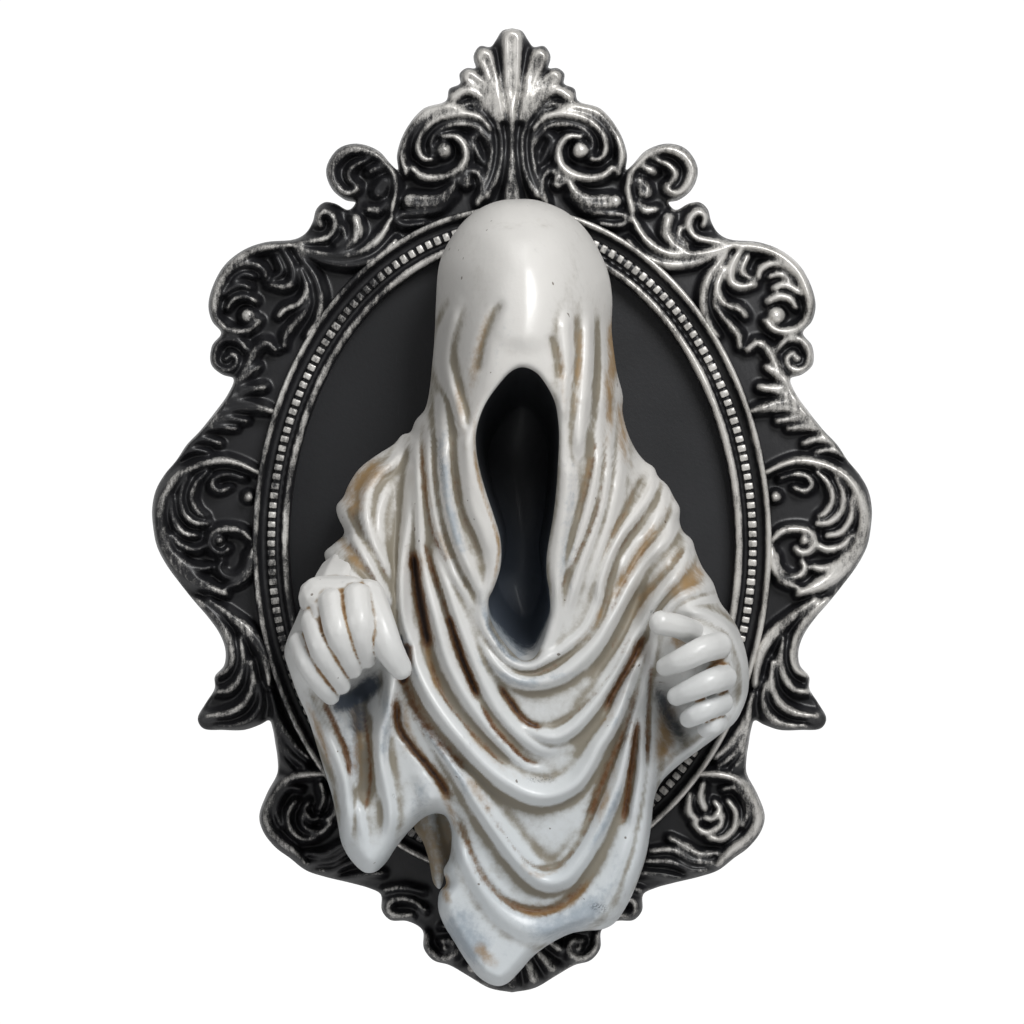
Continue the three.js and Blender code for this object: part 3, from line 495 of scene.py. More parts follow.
def aged_ivory():
    """Ivory enamel on cast resin, rubbed with brown glaze: the glaze stays as ochre and dark brown
    in the folds, grey-brown dirt and painted shade darken the valleys, the ridges are wiped clean
    with a cold grey tint here and there, blue-grey painted shade lies in some hollows, and painted
    shade turns the inside of the hood and the hollows under the hands a bluish black."""
    material, tree, shader, at = start_material("aged_ivory_enamel")
    # Patterns about 60, 17, 2.4 and 0.8 mm across, and pinholes some 3 mm apart
    broad = add(tree, "ShaderNodeTexNoise", spots(16.0, 3.0), Vector=at)
    patch = add(tree, "ShaderNodeTexNoise", spots(60.0, 5.0, 0.6), Vector=at)
    fine = add(tree, "ShaderNodeTexNoise", spots(420.0, 4.0, 0.65), Vector=at)
    grit = add(tree, "ShaderNodeTexNoise", spots(1300.0, 2.0, 0.6), Vector=at)
    pinholes = add(tree, "ShaderNodeTexNoise", spots(330.0, 1.0, 0.3), Vector=at)
    layer = {}
    for name in ROBE_LAYERS:
        layer[name] = add(tree, "ShaderNodeAttribute", {"attribute_name": name}).outputs["Fac"]

    # Warm ivory above, a paler and colder one towards the hem, and the blue-grey tint, part of it painted
    # shade in hollows and on the hem
    height = add(tree, "ShaderNodeSeparateXYZ", Vector=at).outputs["Z"]
    warm = painted(tree, broad, "#c2c0bc", "#dedcd8")
    pale = painted(tree, broad, "#bcc2c5", "#d8dde0")
    colour = painted(tree, stretched(tree, height, -0.14, 0.03), pale, warm)
    cool = stretched(tree, layer["cool"], 0.2, 1.2, (fine, 1.2, 0.5), (patch, 1.4, 0.5))
    colour = painted(tree, cool, colour, "#8f9ba6", 0.8)

    # Grey-brown dirt and painted shade in the valleys and wide hollows
    spread = stretched(tree, patch, 0.3, 0.7)
    dirt_and_shade = add(tree, "ShaderNodeMath", {"operation": "MULTIPLY", 1: 0.75}, input0=layer["broad"])
    dirt_and_shade = add(tree, "ShaderNodeMath", {"operation": "ADD"}, input0=layer["valley"], input1=dirt_and_shade)
    dirt_and_shade = patchy(tree, dirt_and_shade, spread, 0.6)
    dirt_and_shade = stretched(tree, dirt_and_shade, 0.07, 1.08, (fine, 0.6, 0.5), (patch, 0.55, 0.42))
    colour = painted(tree, dirt_and_shade, colour, "#78705f", 0.92)

    # Rubbed ochre, then brown and near-black glaze in the grooves
    ochre = patchy(tree, layer["stain"], spread, 1.2)
    ochre = stretched(tree, ochre, 0.12, 1.1, (fine, 0.7, 0.5))
    colour = painted(tree, ochre, colour, "#93754a", 0.9)
    swings = ((fine, 0.7, 0.5), (patch, 0.5, 0.5))
    colour = painted(tree, stretched(tree, layer["deep"], 0.16, 0.66, *swings), colour, "#654220")
    colour = painted(tree, stretched(tree, layer["deep"], 0.5, 0.95, *swings), colour, "#24120a")

    # Graphite smudges and pinholes
    gritty = stretched(tree, grit, 0.46, 0.60)
    soot = add(tree, "ShaderNodeMath", {"operation": "MULTIPLY"}, input0=layer["soot"], input1=gritty)
    colour = painted(tree, soot, colour, "#3c4046", 0.8)
    colour = painted(tree, stretched(tree, pinholes, 0.79, 0.81), colour, "#4b3a28", 0.75)

    # Painted shade: the inside of the hood and the hollows under and between the fingers go bluish black,
    # with a painted blue-grey sheen lower down
    shadow = stretched(tree, layer["inside"], 0.15, 0.75, (fine, 0.6, 0.5))
    entered = stretched(tree, layer["inside"], 0.0, 0.2)
    shadow = add(tree, "ShaderNodeMath", {"operation": "MULTIPLY"}, input0=shadow, input1=entered)
    shade_and_sheen = painted(tree, stretched(tree, height, -0.030, 0.030), "#434b56", "#1c1e22")
    tree.links.new(painted(tree, shadow, colour, shade_and_sheen), shader.inputs["Base Color"])

    dull = add(tree, "ShaderNodeMath", {"operation": "MAXIMUM"}, input0=ochre, input1=dirt_and_shade)
    dull = add(tree, "ShaderNodeMath", {"operation": "MAXIMUM"}, input0=dull, input1=shadow)
    rough = add(tree, "ShaderNodeMapRange", {"To Min": 0.36, "To Max": 0.62}, Value=dull)
    tree.links.new(rough.outputs["Result"], shader.inputs["Roughness"])
    shader.inputs["Coat Weight"].default_value = 0.12
    shader.inputs["Coat Roughness"].default_value = 0.2
    relief = add(tree, "ShaderNodeMath", {"operation": "MULTIPLY", 1: 0.25}, input0=fine)
    relief = add(tree, "ShaderNodeMath", {"operation": "ADD"}, input0=patch, input1=relief)
    bump = add(tree, "ShaderNodeBump", {"Strength": 0.5, "Distance": 0.0006}, Height=relief)
    tree.links.new(bump.outputs["Normal"], shader.inputs["Normal"])
    return material


FRAME_PAINT = worn_silver_on_black()
BOARD_PAINT = charcoal_board()
ROBE_PAINT = aged_ivory()


# The frame's carving

# Right half of the outline, from the crest down to the foot
FRAME_OUTLINE = [
    (0, 192.5), (3.6, 191.5), (6, 188), (8, 185.5), (12, 185.8), (14.4, 182), (13.6, 177.6),
    (17, 177.6), (19.6, 175.4), (19.4, 171.8), (23.4, 169.8), (24.6, 165.4), (33, 162.5),
    (40, 154), (43, 145), (42.6, 139.5), (45, 141.5), (50, 146.8), (58, 149.4), (65, 147.4),
    (69.4, 140), (67.6, 133), (62.4, 128.6), (58.4, 127.6), (61, 124.6), (66, 127), (70, 127.5),
    (73, 125), (74.5, 120), (77, 116), (81, 113.7), (92, 112.6), (100, 109.8), (107, 104.4),
    (111.4, 97), (113.4, 89), (112, 83), (108.6, 78.6), (112, 74), (112.4, 67), (108.4, 63.2),
    (104, 61.6), (106, 56), (111, 49), (116.6, 42), (121.4, 37), (125.4, 31), (129.6, 26),
    (133, 20), (134.4, 13), (134, 6), (132.6, -1), (129, -8), (123.4, -15.6), (118.6, -21.6),
    (113.4, -27.6), (109, -34), (107, -40), (107.6, -45.6), (111, -49.6), (111, -54),
    (114.4, -59.6), (117.4, -65.4), (115.4, -69), (108, -69.6), (100, -69.6), (94, -67.6),
    (90.6, -66), (89.4, -69), (88.4, -74.6), (87.6, -80), (87.6, -85.6), (91.4, -93),
    (94.4, -101.6), (93, -107.4), (88.4, -113.4), (83, -117.4), (77, -122), (70, -124.4),
    (60, -126.8), (53, -128.8), (49, -131), (48.6, -137), (45.4, -140.6), (39, -141),
    (33.4, -144.4), (33, -151), (29.4, -155.6), (23.4, -157.4), (16.4, -161.4), (8.4, -166),
    (0, -167.6),
]

# Carved ribs and leaves of the right half: points, half widths along them, lift off the ground
RIBS = [
    # crest
    ([(0, 158), (0, 174), (0, 188.5)], (1.7, 3.1, 3.6), 9.0),
    ([(3.2, 158), (6, 170), (10.2, 181.6)], (1.0, 2.3, 3.2), 8.4),
    ([(5, 158), (8.8, 168.6), (15.6, 174)], (1.0, 2.1, 2.9), 7.8),
    ([(6.4, 157.6), (11, 166), (17, 169.4), (21.6, 166.6)], (0.9, 1.7, 1.9, 2.0), 7.2),
    ([(9.5, 159.4), (14, 164), (19, 164)], (0.8, 1.3, 0.9), 6.0),
    ([(0, 124), (0.4, 140), (0, 150), (0, 158)], (3.2, 2.2, 1.5, 1.9), 8.0),
    ([(6.4, 158.6), (4.2, 153), (3.8, 147), (5.2, 138), (9.6, 129.4)], (1.2, 1.2, 1.3, 1.4, 1.0), 7.4),
    ([(9.2, 157), (7.4, 150.6), (8, 142), (11.4, 128.6)], (1.1, 1.2, 1.4, 1.0), 6.8),
    ([(8.8, 148.4), (11, 152.6), (15, 151.6), (13.6, 147.4), (10.8, 142)], (0.8, 1.3, 1.4, 1.3, 0.9), 5.4),
    # large scroll beside the crest
    ([(13, 158.8), (23, 163), (32, 160.6), (39, 153), (41.2, 145), (39.6, 138.4)],
     (1.2, 1.9, 2.3, 2.4, 2.0, 1.3), 8.0),
    ([(8, 155), (13, 159.6), (20, 160.4), (28, 158.4), (33.4, 153.6), (35.2, 148), (33, 143.8),
      (29.4, 143.6)],
     (1.0, 1.4, 1.6, 1.7, 1.7, 1.6, 1.3, 0.9), 9.0),
    ([(8.4, 150), (13, 155.6), (20, 156.8), (27, 154.6), (30.2, 150), (30, 145.6)],
     (0.9, 1.3, 1.4, 1.4, 1.3, 0.9), 7.4),
    ([(26, 152), (21, 152), (17.6, 148), (18, 142), (22, 138.2), (28, 136.6), (34, 137.4), (37.6, 140.6)],
     (1.1, 1.4, 1.5, 1.6, 1.7, 1.8, 1.7, 1.2), 8.8),
    ([(13, 127), (11.2, 133), (12.4, 138), (16, 139.2), (19, 136.4), (18, 133.6), (15.4, 134.2)],
     (1.0, 1.3, 1.4, 1.4, 1.3, 1.2, 1.0), 7.0),
    ([(21, 136), (23.6, 131.4), (28, 128.2), (37.6, 127.8)], (1.2, 2.2, 2.5, 2.6), 8.0),
    ([(21, 130), (27, 124.8), (35, 123.4), (42, 122.6), (43.2, 120.4), (40, 119), (33, 119.6)],
     (0.9, 1.2, 1.3, 1.3, 1.2, 1.1, 0.8), 5.6),
    # second scroll
    ([(45, 124), (43.4, 132), (45, 139.6), (50.4, 145), (58, 147.4), (64, 145), (67.2, 140), (65.6, 134),
      (61.4, 130.8), (57.8, 132.4)],
     (1.2, 1.5, 1.6, 1.7, 1.9, 2.0, 2.2, 2.2, 1.8, 1.2), 8.6),
    ([(53.4, 143.6), (58.8, 141.2), (61, 138), (59.6, 134.8), (57.4, 133.6)],
     (0.9, 1.3, 1.4, 1.4, 1.0), 8.0),
    ([(49.6, 140.4), (52.6, 139.2)], (2.0, 1.7), 7.4),
    ([(47.6, 135), (49.6, 131.6)], (2.4, 2.6), 7.4),
    ([(47, 127), (49.6, 124.6), (53.6, 124.8)], (1.6, 1.8, 1.2), 6.4),
    # sweeping leaf under it
    ([(45, 121.6), (50, 113.6), (58, 108.6), (68, 108), (78, 110), (83.4, 112)],
     (1.0, 1.5, 1.6, 1.5, 1.4, 1.0), 8.6),
    ([(43.4, 113), (50, 107), (59, 104.2), (68, 104.8), (76, 107.6), (81, 110)],
     (1.0, 1.6, 1.7, 1.5, 1.3, 0.9), 7.6),
    ([(46, 117.6), (52, 109.8), (60, 106.4), (70, 106.4)], (0.8, 1.1, 1.1, 0.8), 6.6),
    ([(58.4, 121.4), (57.6, 116.4), (60.4, 111.6), (66, 109)], (1.7, 2.2, 1.8, 1.0), 8.4),
    ([(63, 118), (62.4, 114.4), (66, 111.4)], (1.0, 1.5, 0.9), 7.4),
    ([(80, 112.2), (74, 113), (68.4, 114.6), (66, 118.2), (67, 122.2), (70, 124), (72.2, 122),
      (71.4, 118.8)],
     (1.0, 1.3, 1.4, 1.5, 1.5, 1.5, 1.3, 0.9), 7.6),
    # corner group
    ([(83, 111.4), (92, 110.6), (99.4, 108), (105.6, 103), (109.4, 96.4), (111.2, 89), (110, 83.6),
      (106.6, 80.2), (101.6, 79.2), (97, 80.6), (94.4, 83.2)],
     (1.2, 1.7, 1.9, 2.0, 2.1, 2.1, 1.9, 1.7, 1.6, 1.4, 1.0), 8.6),
    ([(85.6, 110), (82, 103.4), (82, 97.8), (85.4, 96), (90.4, 96.8)], (1.1, 1.7, 1.9, 1.7, 1.1), 8.4),
    ([(88, 107.6), (85.8, 101.4), (89.6, 98.8)], (0.8, 1.2, 0.8), 7.4),
    ([(106.4, 100.4), (101, 104.2), (96, 104.4), (92.6, 102), (92, 99.4)], (0.9, 1.4, 1.6, 1.5, 1.0), 8.0),
    ([(104.4, 98), (100, 100.8), (96.2, 99.8)], (0.8, 1.3, 0.9), 7.0),
    ([(107.6, 93), (104.6, 95.6), (101, 96.6), (97.8, 95.4)], (0.9, 1.4, 1.4, 1.0), 7.6),
    ([(106.4, 88), (103.6, 91.6), (99.4, 92.4), (95.6, 90.4)], (0.9, 1.3, 1.4, 1.0), 7.8),
    ([(80.4, 108.6), (74, 100.4), (71.4, 91.6), (72.8, 83.6), (76.4, 77.6)],
     (1.0, 1.7, 1.9, 1.7, 1.0), 7.8),
    ([(79, 103), (76.8, 95), (79.4, 89.6), (85, 87.4), (87, 85)], (0.9, 1.4, 1.5, 1.5, 1.1), 8.2),
    ([(76, 97.4), (75.8, 89.4), (80.4, 83), (84.4, 78), (85.2, 73.6)], (0.9, 1.3, 1.6, 1.6, 1.1), 7.4),
    ([(99, 72.6), (102.6, 76.2), (108.4, 76), (111, 72), (110.8, 67), (107.4, 64.8), (103.6, 66),
      (102.8, 69.4), (105, 71.2)],
     (1.0, 1.4, 1.6, 1.6, 1.6, 1.5, 1.4, 1.2, 0.9), 7.0),
    # acanthus down the side
    ([(88, 72.4), (91.8, 75), (95.4, 72.6), (98.4, 67), (102.6, 60)], (1.2, 1.8, 1.9, 1.7, 1.1), 7.4),
    ([(105.4, 57.4), (100.6, 62), (95, 66)], (1.2, 2.2, 1.1), 7.6),
    ([(110, 51), (101.6, 56.8), (92.6, 58.4)], (1.3, 2.6, 1.2), 8.0),
    ([(113.4, 47), (103, 51.6), (95.6, 51), (89.4, 49.4)], (1.3, 2.5, 2.4, 1.1), 8.2),
    ([(116.4, 43.6), (108, 46.8), (99, 45.8)], (1.2, 1.9, 1.0), 7.6),
    ([(118.8, 40.6), (110.8, 43.6), (103, 42.9)], (1.1, 1.6, 0.9), 7.2),
    ([(121.6, 36.8), (115, 39.2), (109, 37.4)], (1.0, 1.6, 0.9), 6.8),
    ([(124.4, 32.6), (119, 35), (113.4, 34)], (1.0, 1.4, 0.8), 6.4),
    ([(104.6, 60), (110.6, 51.4), (117, 43), (123, 35.6)], (1.0, 1.4, 1.4, 1.0), 7.0),
    # roundel on the widest place
    ([(94.6, 26.4), (101, 29.4), (108, 31), (117.6, 29), (124.6, 25), (129.2, 18.6), (131.4, 11),
      (130.4, 2), (126.4, -5.6), (118.8, -13), (112, -16.8), (107, -18.6)],
     (0.9, 1.4, 1.7, 1.8, 1.9, 2.1, 2.2, 2.3, 2.4, 2.5, 2.2, 1.3), 9.0),
    ([(100, 24.4), (106, 26), (110.4, 25), (112, 22), (109.4, 19.6), (105.2, 21)],
     (0.8, 1.1, 1.2, 1.2, 1.1, 0.8), 6.8),
    ([(113.6, 27), (118, 22.8), (119.8, 17), (117.4, 11.8), (114.6, 10)], (0.9, 1.3, 1.5, 1.4, 0.9), 7.6),
    ([(120.6, 25.6), (123.6, 19), (122.8, 12), (118.6, 8), (113.6, 7.4)], (0.9, 1.4, 1.5, 1.4, 0.9), 8.0),
    ([(127, 17.4), (126.6, 9.6), (122.6, 4), (117.6, 3)], (0.9, 1.4, 1.4, 0.9), 8.0),
    ([(127.2, 3.4), (123.4, -0.8), (118, -2.2), (114.6, -0.8)], (0.9, 1.4, 1.4, 0.9), 7.6),
    ([(124.6, -3.6), (121.4, -7.4), (116.4, -9.4), (112.4, -8.8)], (0.9, 1.4, 1.4, 0.9), 7.4),
    ([(97, -1.6), (97.4, -8.6), (101.2, -14), (107, -16.4)], (1.0, 1.5, 1.6, 1.0), 7.6),
    ([(97, 1), (101, 4.6), (107, 5.4), (111.6, 4), (113, 0.4), (111.2, -2.6), (108, -3.4), (106, -1.8)],
     (0.9, 1.4, 1.5, 1.5, 1.4, 1.3, 1.2, 0.9), 7.8),
    ([(98.6, -4), (99.8, -9.4), (103.2, -12.6), (107.4, -12), (109.4, -9.2), (108.4, -6.6)],
     (0.9, 1.2, 1.4, 1.3, 1.2, 0.9), 6.8),
    # leaves under the roundel
    ([(113.4, -21), (105, -27.2), (98.4, -33), (93.6, -39.4), (91.6, -46), (90.8, -52.6)],
     (1.2, 1.8, 2.3, 2.3, 1.9, 1.1), 8.4),
    ([(117.4, -21.4), (110, -28.2), (105.6, -36.4), (104.6, -43.6), (107, -47.8), (110.4, -49)],
     (1.4, 1.8, 1.8, 1.8, 1.5, 1.0), 8.2),
    ([(101.4, -35), (100.4, -45), (102.6, -51.6), (106.6, -55), (110.6, -55.2)],
     (1.0, 1.6, 1.8, 1.7, 1.0), 7.6),
    ([(97.4, -44), (97.2, -54.6), (101, -60.6), (107, -63.6), (114, -64.4)],
     (1.0, 1.6, 1.8, 1.8, 1.1), 8.0),
    ([(94.6, -52), (94, -60), (97.6, -65.6), (103.6, -67.8), (110, -68)], (1.0, 1.4, 1.6, 1.4, 0.9), 7.0),
    # foot
    ([(90, -56), (86.8, -66.6), (81, -75.6), (76, -80)], (1.0, 1.3, 1.4, 0.9), 6.4),
    ([(89, -62.6), (87.4, -71), (82.6, -78.8), (77, -83.6)], (0.9, 1.3, 1.4, 0.9), 6.0),
    ([(87, -73), (85.6, -80), (81.6, -85.4)], (0.9, 1.2, 0.9), 5.6),
    ([(68.6, -86), (79.4, -86.6), (85.2, -89.2), (89.4, -95.2), (91.8, -102.6), (88.4, -109.6),
      (82.2, -114.2), (77, -119.6)],
     (0.9, 1.4, 1.7, 1.9, 2.1, 2.1, 1.8, 1.2), 8.6),
    ([(79, -91.6), (83.2, -91.2), (86.6, -94.8), (88, -100), (86.4, -105.4)],
     (0.8, 1.1, 1.3, 1.3, 0.9), 7.4),
    ([(80.6, -96), (83.6, -100.4), (83, -106), (78.8, -110.2), (73.6, -110)],
     (0.9, 1.3, 1.5, 1.4, 0.9), 8.4),
    ([(67.6, -104.4), (72, -108), (77.6, -105.6), (78.8, -101.6)], (0.9, 1.3, 1.4, 0.9), 7.6),
    ([(72, -102.4), (75, -103), (77.6, -99.4), (75.6, -96.4)], (0.9, 1.1, 1.1, 0.8), 7.4),
    ([(71.4, -89.4), (70.4, -95), (72, -99)], (1.1, 1.7, 1.1), 7.6),
    ([(66.4, -93.6), (66.2, -100.6), (69.6, -103.4)], (1.0, 1.6, 1.0), 7.2),
    ([(59, -110), (64, -112.8), (70, -116), (77.4, -115.6)], (0.9, 1.3, 1.4, 0.9), 6.6),
    ([(52, -114.8), (60, -114.4), (67, -118.4), (75.4, -119.2)], (0.8, 1.3, 1.4, 0.9), 6.4),
    ([(50, -118.6), (60, -119), (67, -122), (72.6, -122)], (0.8, 1.3, 1.3, 0.8), 6.2),
    ([(48, -123), (56, -123.6), (64, -125.2)], (0.8, 1.3, 0.9), 5.8),
    ([(32.4, -137), (38, -133), (44.6, -133.2), (46.4, -136.6), (43.4, -139), (37.4, -138.6)],
     (0.9, 1.3, 1.4, 1.3, 1.3, 0.9), 6.4),
    ([(33, -130), (41, -128.6), (48, -129.6)], (0.9, 1.4, 0.9), 5.6),
    ([(32, -146), (31, -151.6), (26, -154.8), (21.6, -152.6), (22.6, -148.4), (26.6, -148.4)],
     (1.0, 1.4, 1.6, 1.5, 1.3, 0.9), 6.8),
    ([(0, -146), (0, -155), (0, -165)], (1.2, 2.0, 2.4), 7.4),
    ([(3, -146), (5, -154), (8, -162.6)], (1.0, 1.7, 2.2), 7.0),
    ([(5, -145), (9, -151.6), (15, -158.4)], (1.0, 1.6, 2.1), 6.6),
    ([(6.6, -143.6), (12, -147.6), (18, -151.4)], (1.0, 1.4, 1.5), 6.2),
    ([(12, -140), (18, -142), (26, -143)], (0.9, 1.3, 0.9), 5.6),
]

# Round bosses: centre, radius, lift
BOSSES = [
    ((25.6, 147), 3.5, 9.6),
    ((16.6, 136.4), 1.6, 8.0),
    ((38.6, 128), 2.9, 8.4),
    ((98.6, 85), 3.3, 9.2),
    ((106.6, 69), 1.6, 7.6),
    ((98.5, 17.5), 2.5, 7.6),
    ((109.2, 1.2), 2.0, 9.0),
    ((76.4, -101.4), 1.6, 8.4),
    ((25, -151), 1.7, 7.4),
]


def rib_width(widths, share):
    return np.interp(share, np.linspace(0, 1, len(widths)), widths)


def carve(lattice, height, points, widths, lift):
    """Raises a rib with rounded sides along a smooth line."""
    line = smooth_line(points, LINE_STEPS)
    widths = [w * RIB_SPREAD for w in widths]
    reach = max(widths) + SKIRT
    rows, columns = lattice.window(line, reach)
    x, z = lattice.x[rows, columns], lattice.z[rows, columns]
    if x.size == 0:
        return
    distance, share, _ = near_line(x, z, line)
    half = rib_width(widths, share)
    over = np.clip(distance / half, 0, 1)
    crest = SKIRT_SHARE + (1 - SKIRT_SHARE) * np.sqrt(1 - over**2)
    crest -= FLUTE * ramp(2.2, 3.2, half) * (1 - ramp(0.1, 0.6, over))
    skirt = SKIRT_SHARE * (1 - ramp(0, SKIRT, distance - half))
    value = lift * np.where(distance < half, crest, skirt)
    height[rows, columns] = np.maximum(height[rows, columns], value)


def frame_fields():
    """Carving height and outline distance of the frame's right half, on a net.

    The net reaches a little past the middle, and a rib near the middle is drawn on both sides.
    """
    net = Lattice(-4, FRAME_REACH, FRAME_LOW, FRAME_HIGH)
    height = net.zeros()
    for points, widths, lift in RIBS:
        carve(net, height, points, widths, lift)
        if min(p[0] for p in points) < 6:
            carve(net, height, [(-x, z) for x, z in points], widths, lift)
    for centre, radius, lift in BOSSES:
        distance = np.hypot(net.x - centre[0], net.z - centre[1])
        dome = lift * (0.55 + 0.45 * np.sqrt(np.clip(1 - (distance / radius) ** 2, 0, 1)))
        height = np.where(distance < radius, np.maximum(height, dome), height)
    height = net.blurred(height, 0.26)
    right = smooth_line(FRAME_OUTLINE, 5)
    left = right[::-1][1:-1] * (-1, 1)
    outline = np.vstack([right, left])
    return net, height, net.signed_distance(outline)


def oval_out(x, z, most=60.0):
    """How far outside the sight edge a point lies, measured as the moulding's rings are drawn."""
    out = np.hypot(x / OVAL_HALF_WIDTH, z / OVAL_HALF_HEIGHT) * OVAL_HALF_WIDTH - OVAL_HALF_WIDTH
    for _ in range(6):
        a, b = OVAL_HALF_WIDTH + out, OVAL_HALF_HEIGHT + out
        value = (x / a) ** 2 + (z / b) ** 2 - 1
        slope = -2 * x**2 / a**3 - 2 * z**2 / b**3
        out = np.clip(out - value / np.where(np.abs(slope) < 1e-9, -1e-9, slope), -70, most)
    return out


def build_carving():
    """The scrollwork around the moulding, mirrored, with its sides and its flat back."""
    half, height, outside_half = frame_fields()
    net = Lattice(-FRAME_REACH, FRAME_REACH, FRAME_LOW, FRAME_HIGH)
    mirror_x = np.abs(net.x)
    outline = half.read(outside_half, mirror_x, net.z)
    carved = half.read(height, mirror_x, net.z)
    rim = MOULDING_OUT - CARVING_OVERLAP - oval_out(net.x, net.z)
    outside = np.maximum(outline, rim)
    bm = sheet(net, outside, CARVING_CELL, ["high"])
    co = coordinates(bm)
    x, z = co[:, 0], co[:, 1]
    lift = net.read(carved, x, z)
    to_edge = -net.read(outline, x, z)
    ground = GROUND_DEPTH - GROUND_FALL * ramp(8, 40, oval_out(x, z))
    roll = np.sqrt(1 - (1 - np.clip(to_edge / FRAME_EDGE_ROLL, 0, 1)) ** 2)
    depth = FRAME_EDGE_DEPTH + (ground + lift - FRAME_EDGE_DEPTH) * roll
    mean = net.blurred(carved, 1.7)
    bump = net.blurred(carved, 0.35) - mean
    # The brush leaves silver on what stands out and along the outer edge, and the crest's leaves get more as
    # a painted highlight
    raised = ramp(0.8, 3.6, lift)
    high = np.clip(0.215 + 0.30 * net.read(bump, x, z) + 0.065 * (lift - 4), 0, 1) * raised
    high += CREST_HIGHLIGHT * ramp(150, 166, z) * raised
    high = np.maximum(high, 0.34 * (1 - ramp(0.4, 1.6, to_edge)))
    mark(bm, bm.verts[:], high=high)
    set_coordinates(bm, place(x, z, depth))
    rims = [e for e in bm.edges if e.is_boundary]
    for share in (0.5, 1.0):
        verts, rims = drawn_out(bm, rims)
        for v in verts:
            v.co.y *= 1 - share
        mark(bm, verts, high=0.1)
    for e in rims:
        e.smooth = False
    bmesh.ops.triangle_fill(bm, edges=rims, use_beauty=False, normal=(0, 1, 0))
    bmesh.ops.recalc_face_normals(bm, faces=bm.faces)
    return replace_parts(finish_piece("frame_carving", bm, FRAME_PAINT), "baroque_frame")


# The oval moulding's section: out from the sight edge, depth, and how silver it is
MOULDING = [
    (-0.6, 5.2, 0.0), (-0.6, 9.0, 0.1), (-0.5, 12.4, 0.5), (-0.1, 13.6, 0.9), (0.6, 14.2, 1.0),
    (1.3, 14.2, 1.0), (2.0, 13.7, 0.8), (2.5, 12.6, 0.3), (2.9, 11.7, 0.05), (3.6, 11.4, 0.0),
    (4.3, 11.6, 0.0), (4.6, 12.2, 0.2), (5.0, 12.5, 0.3), (6.9, 12.5, 0.3), (7.3, 12.2, 0.2),
    (7.7, 11.7, 0.0), (8.6, 11.5, 0.0), (9.6, 11.8, 0.0), (10.2, 12.6, 0.1), (10.6, 14.4, 0.4),
    (10.9, 16.2, 0.8), (11.3, 17.1, 1.0), (11.9, 17.4, 1.0), (12.5, 17.1, 1.0), (12.9, 16.0, 0.7),
    (13.1, 14.0, 0.3), (13.4, 11.6, 0.1), (13.7, 9.0, 0.0), (13.7, 1.0, 0.0),
    (11.9, 0.05, 0.0), (5.1, 0.05, 0.0), (5.1, 5.2, 0.0),
]


def build_moulding():
    """One section carried round the oval."""
    bm = started("high")
    section = [bm.verts.new((out, -depth, 0)) for out, depth, _ in MOULDING]
    edges = [bm.edges.new(pair) for pair in zip(section, section[1:] + section[:1])]
    bmesh.ops.spin(
        bm, geom=section + edges, cent=(-OVAL_HALF_WIDTH, 0, 0), axis=(0, 1, 0),
        angle=2 * math.pi, steps=MOULDING_STEPS, use_merge=True, use_duplicate=False,
    )
    co = coordinates(bm)
    out = np.hypot(co[:, 0] + OVAL_HALF_WIDTH, co[:, 2]) - OVAL_HALF_WIDTH
    angle = np.arctan2(co[:, 2], co[:, 0] + OVAL_HALF_WIDTH)
    wobble = MOULDING_WOBBLE * np.sin(37 * angle) * np.sin(23 * angle + 1)
    x = (OVAL_HALF_WIDTH + out) * np.cos(angle)
    z = (OVAL_HALF_HEIGHT + out) * np.sin(angle)
    depth = -co[:, 1] + wobble * (-co[:, 1] > 6)
    outs = np.array([m[0] for m in MOULDING])
    depths = np.array([m[1] for m in MOULDING])
    silver = np.array([m[2] for m in MOULDING])
    across = outs[None] - out[:, None]
    down = depths[None] + co[:, 1][:, None]
    nearest = np.argmin(across**2 + 0.3 * down**2, axis=1)
    mark(bm, bm.verts[:], high=silver[nearest] * 0.66)
    set_coordinates(bm, np.stack([x, -depth, z], axis=1) * MM)
    bmesh.ops.remove_doubles(bm, verts=bm.verts, dist=1e-7)
    for e in bm.edges:
        e.smooth = max(v.co.y for v in e.verts) < -0.001
    bmesh.ops.recalc_face_normals(bm, faces=bm.faces)
    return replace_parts(finish_piece("frame_moulding", bm, FRAME_PAINT), "baroque_frame")


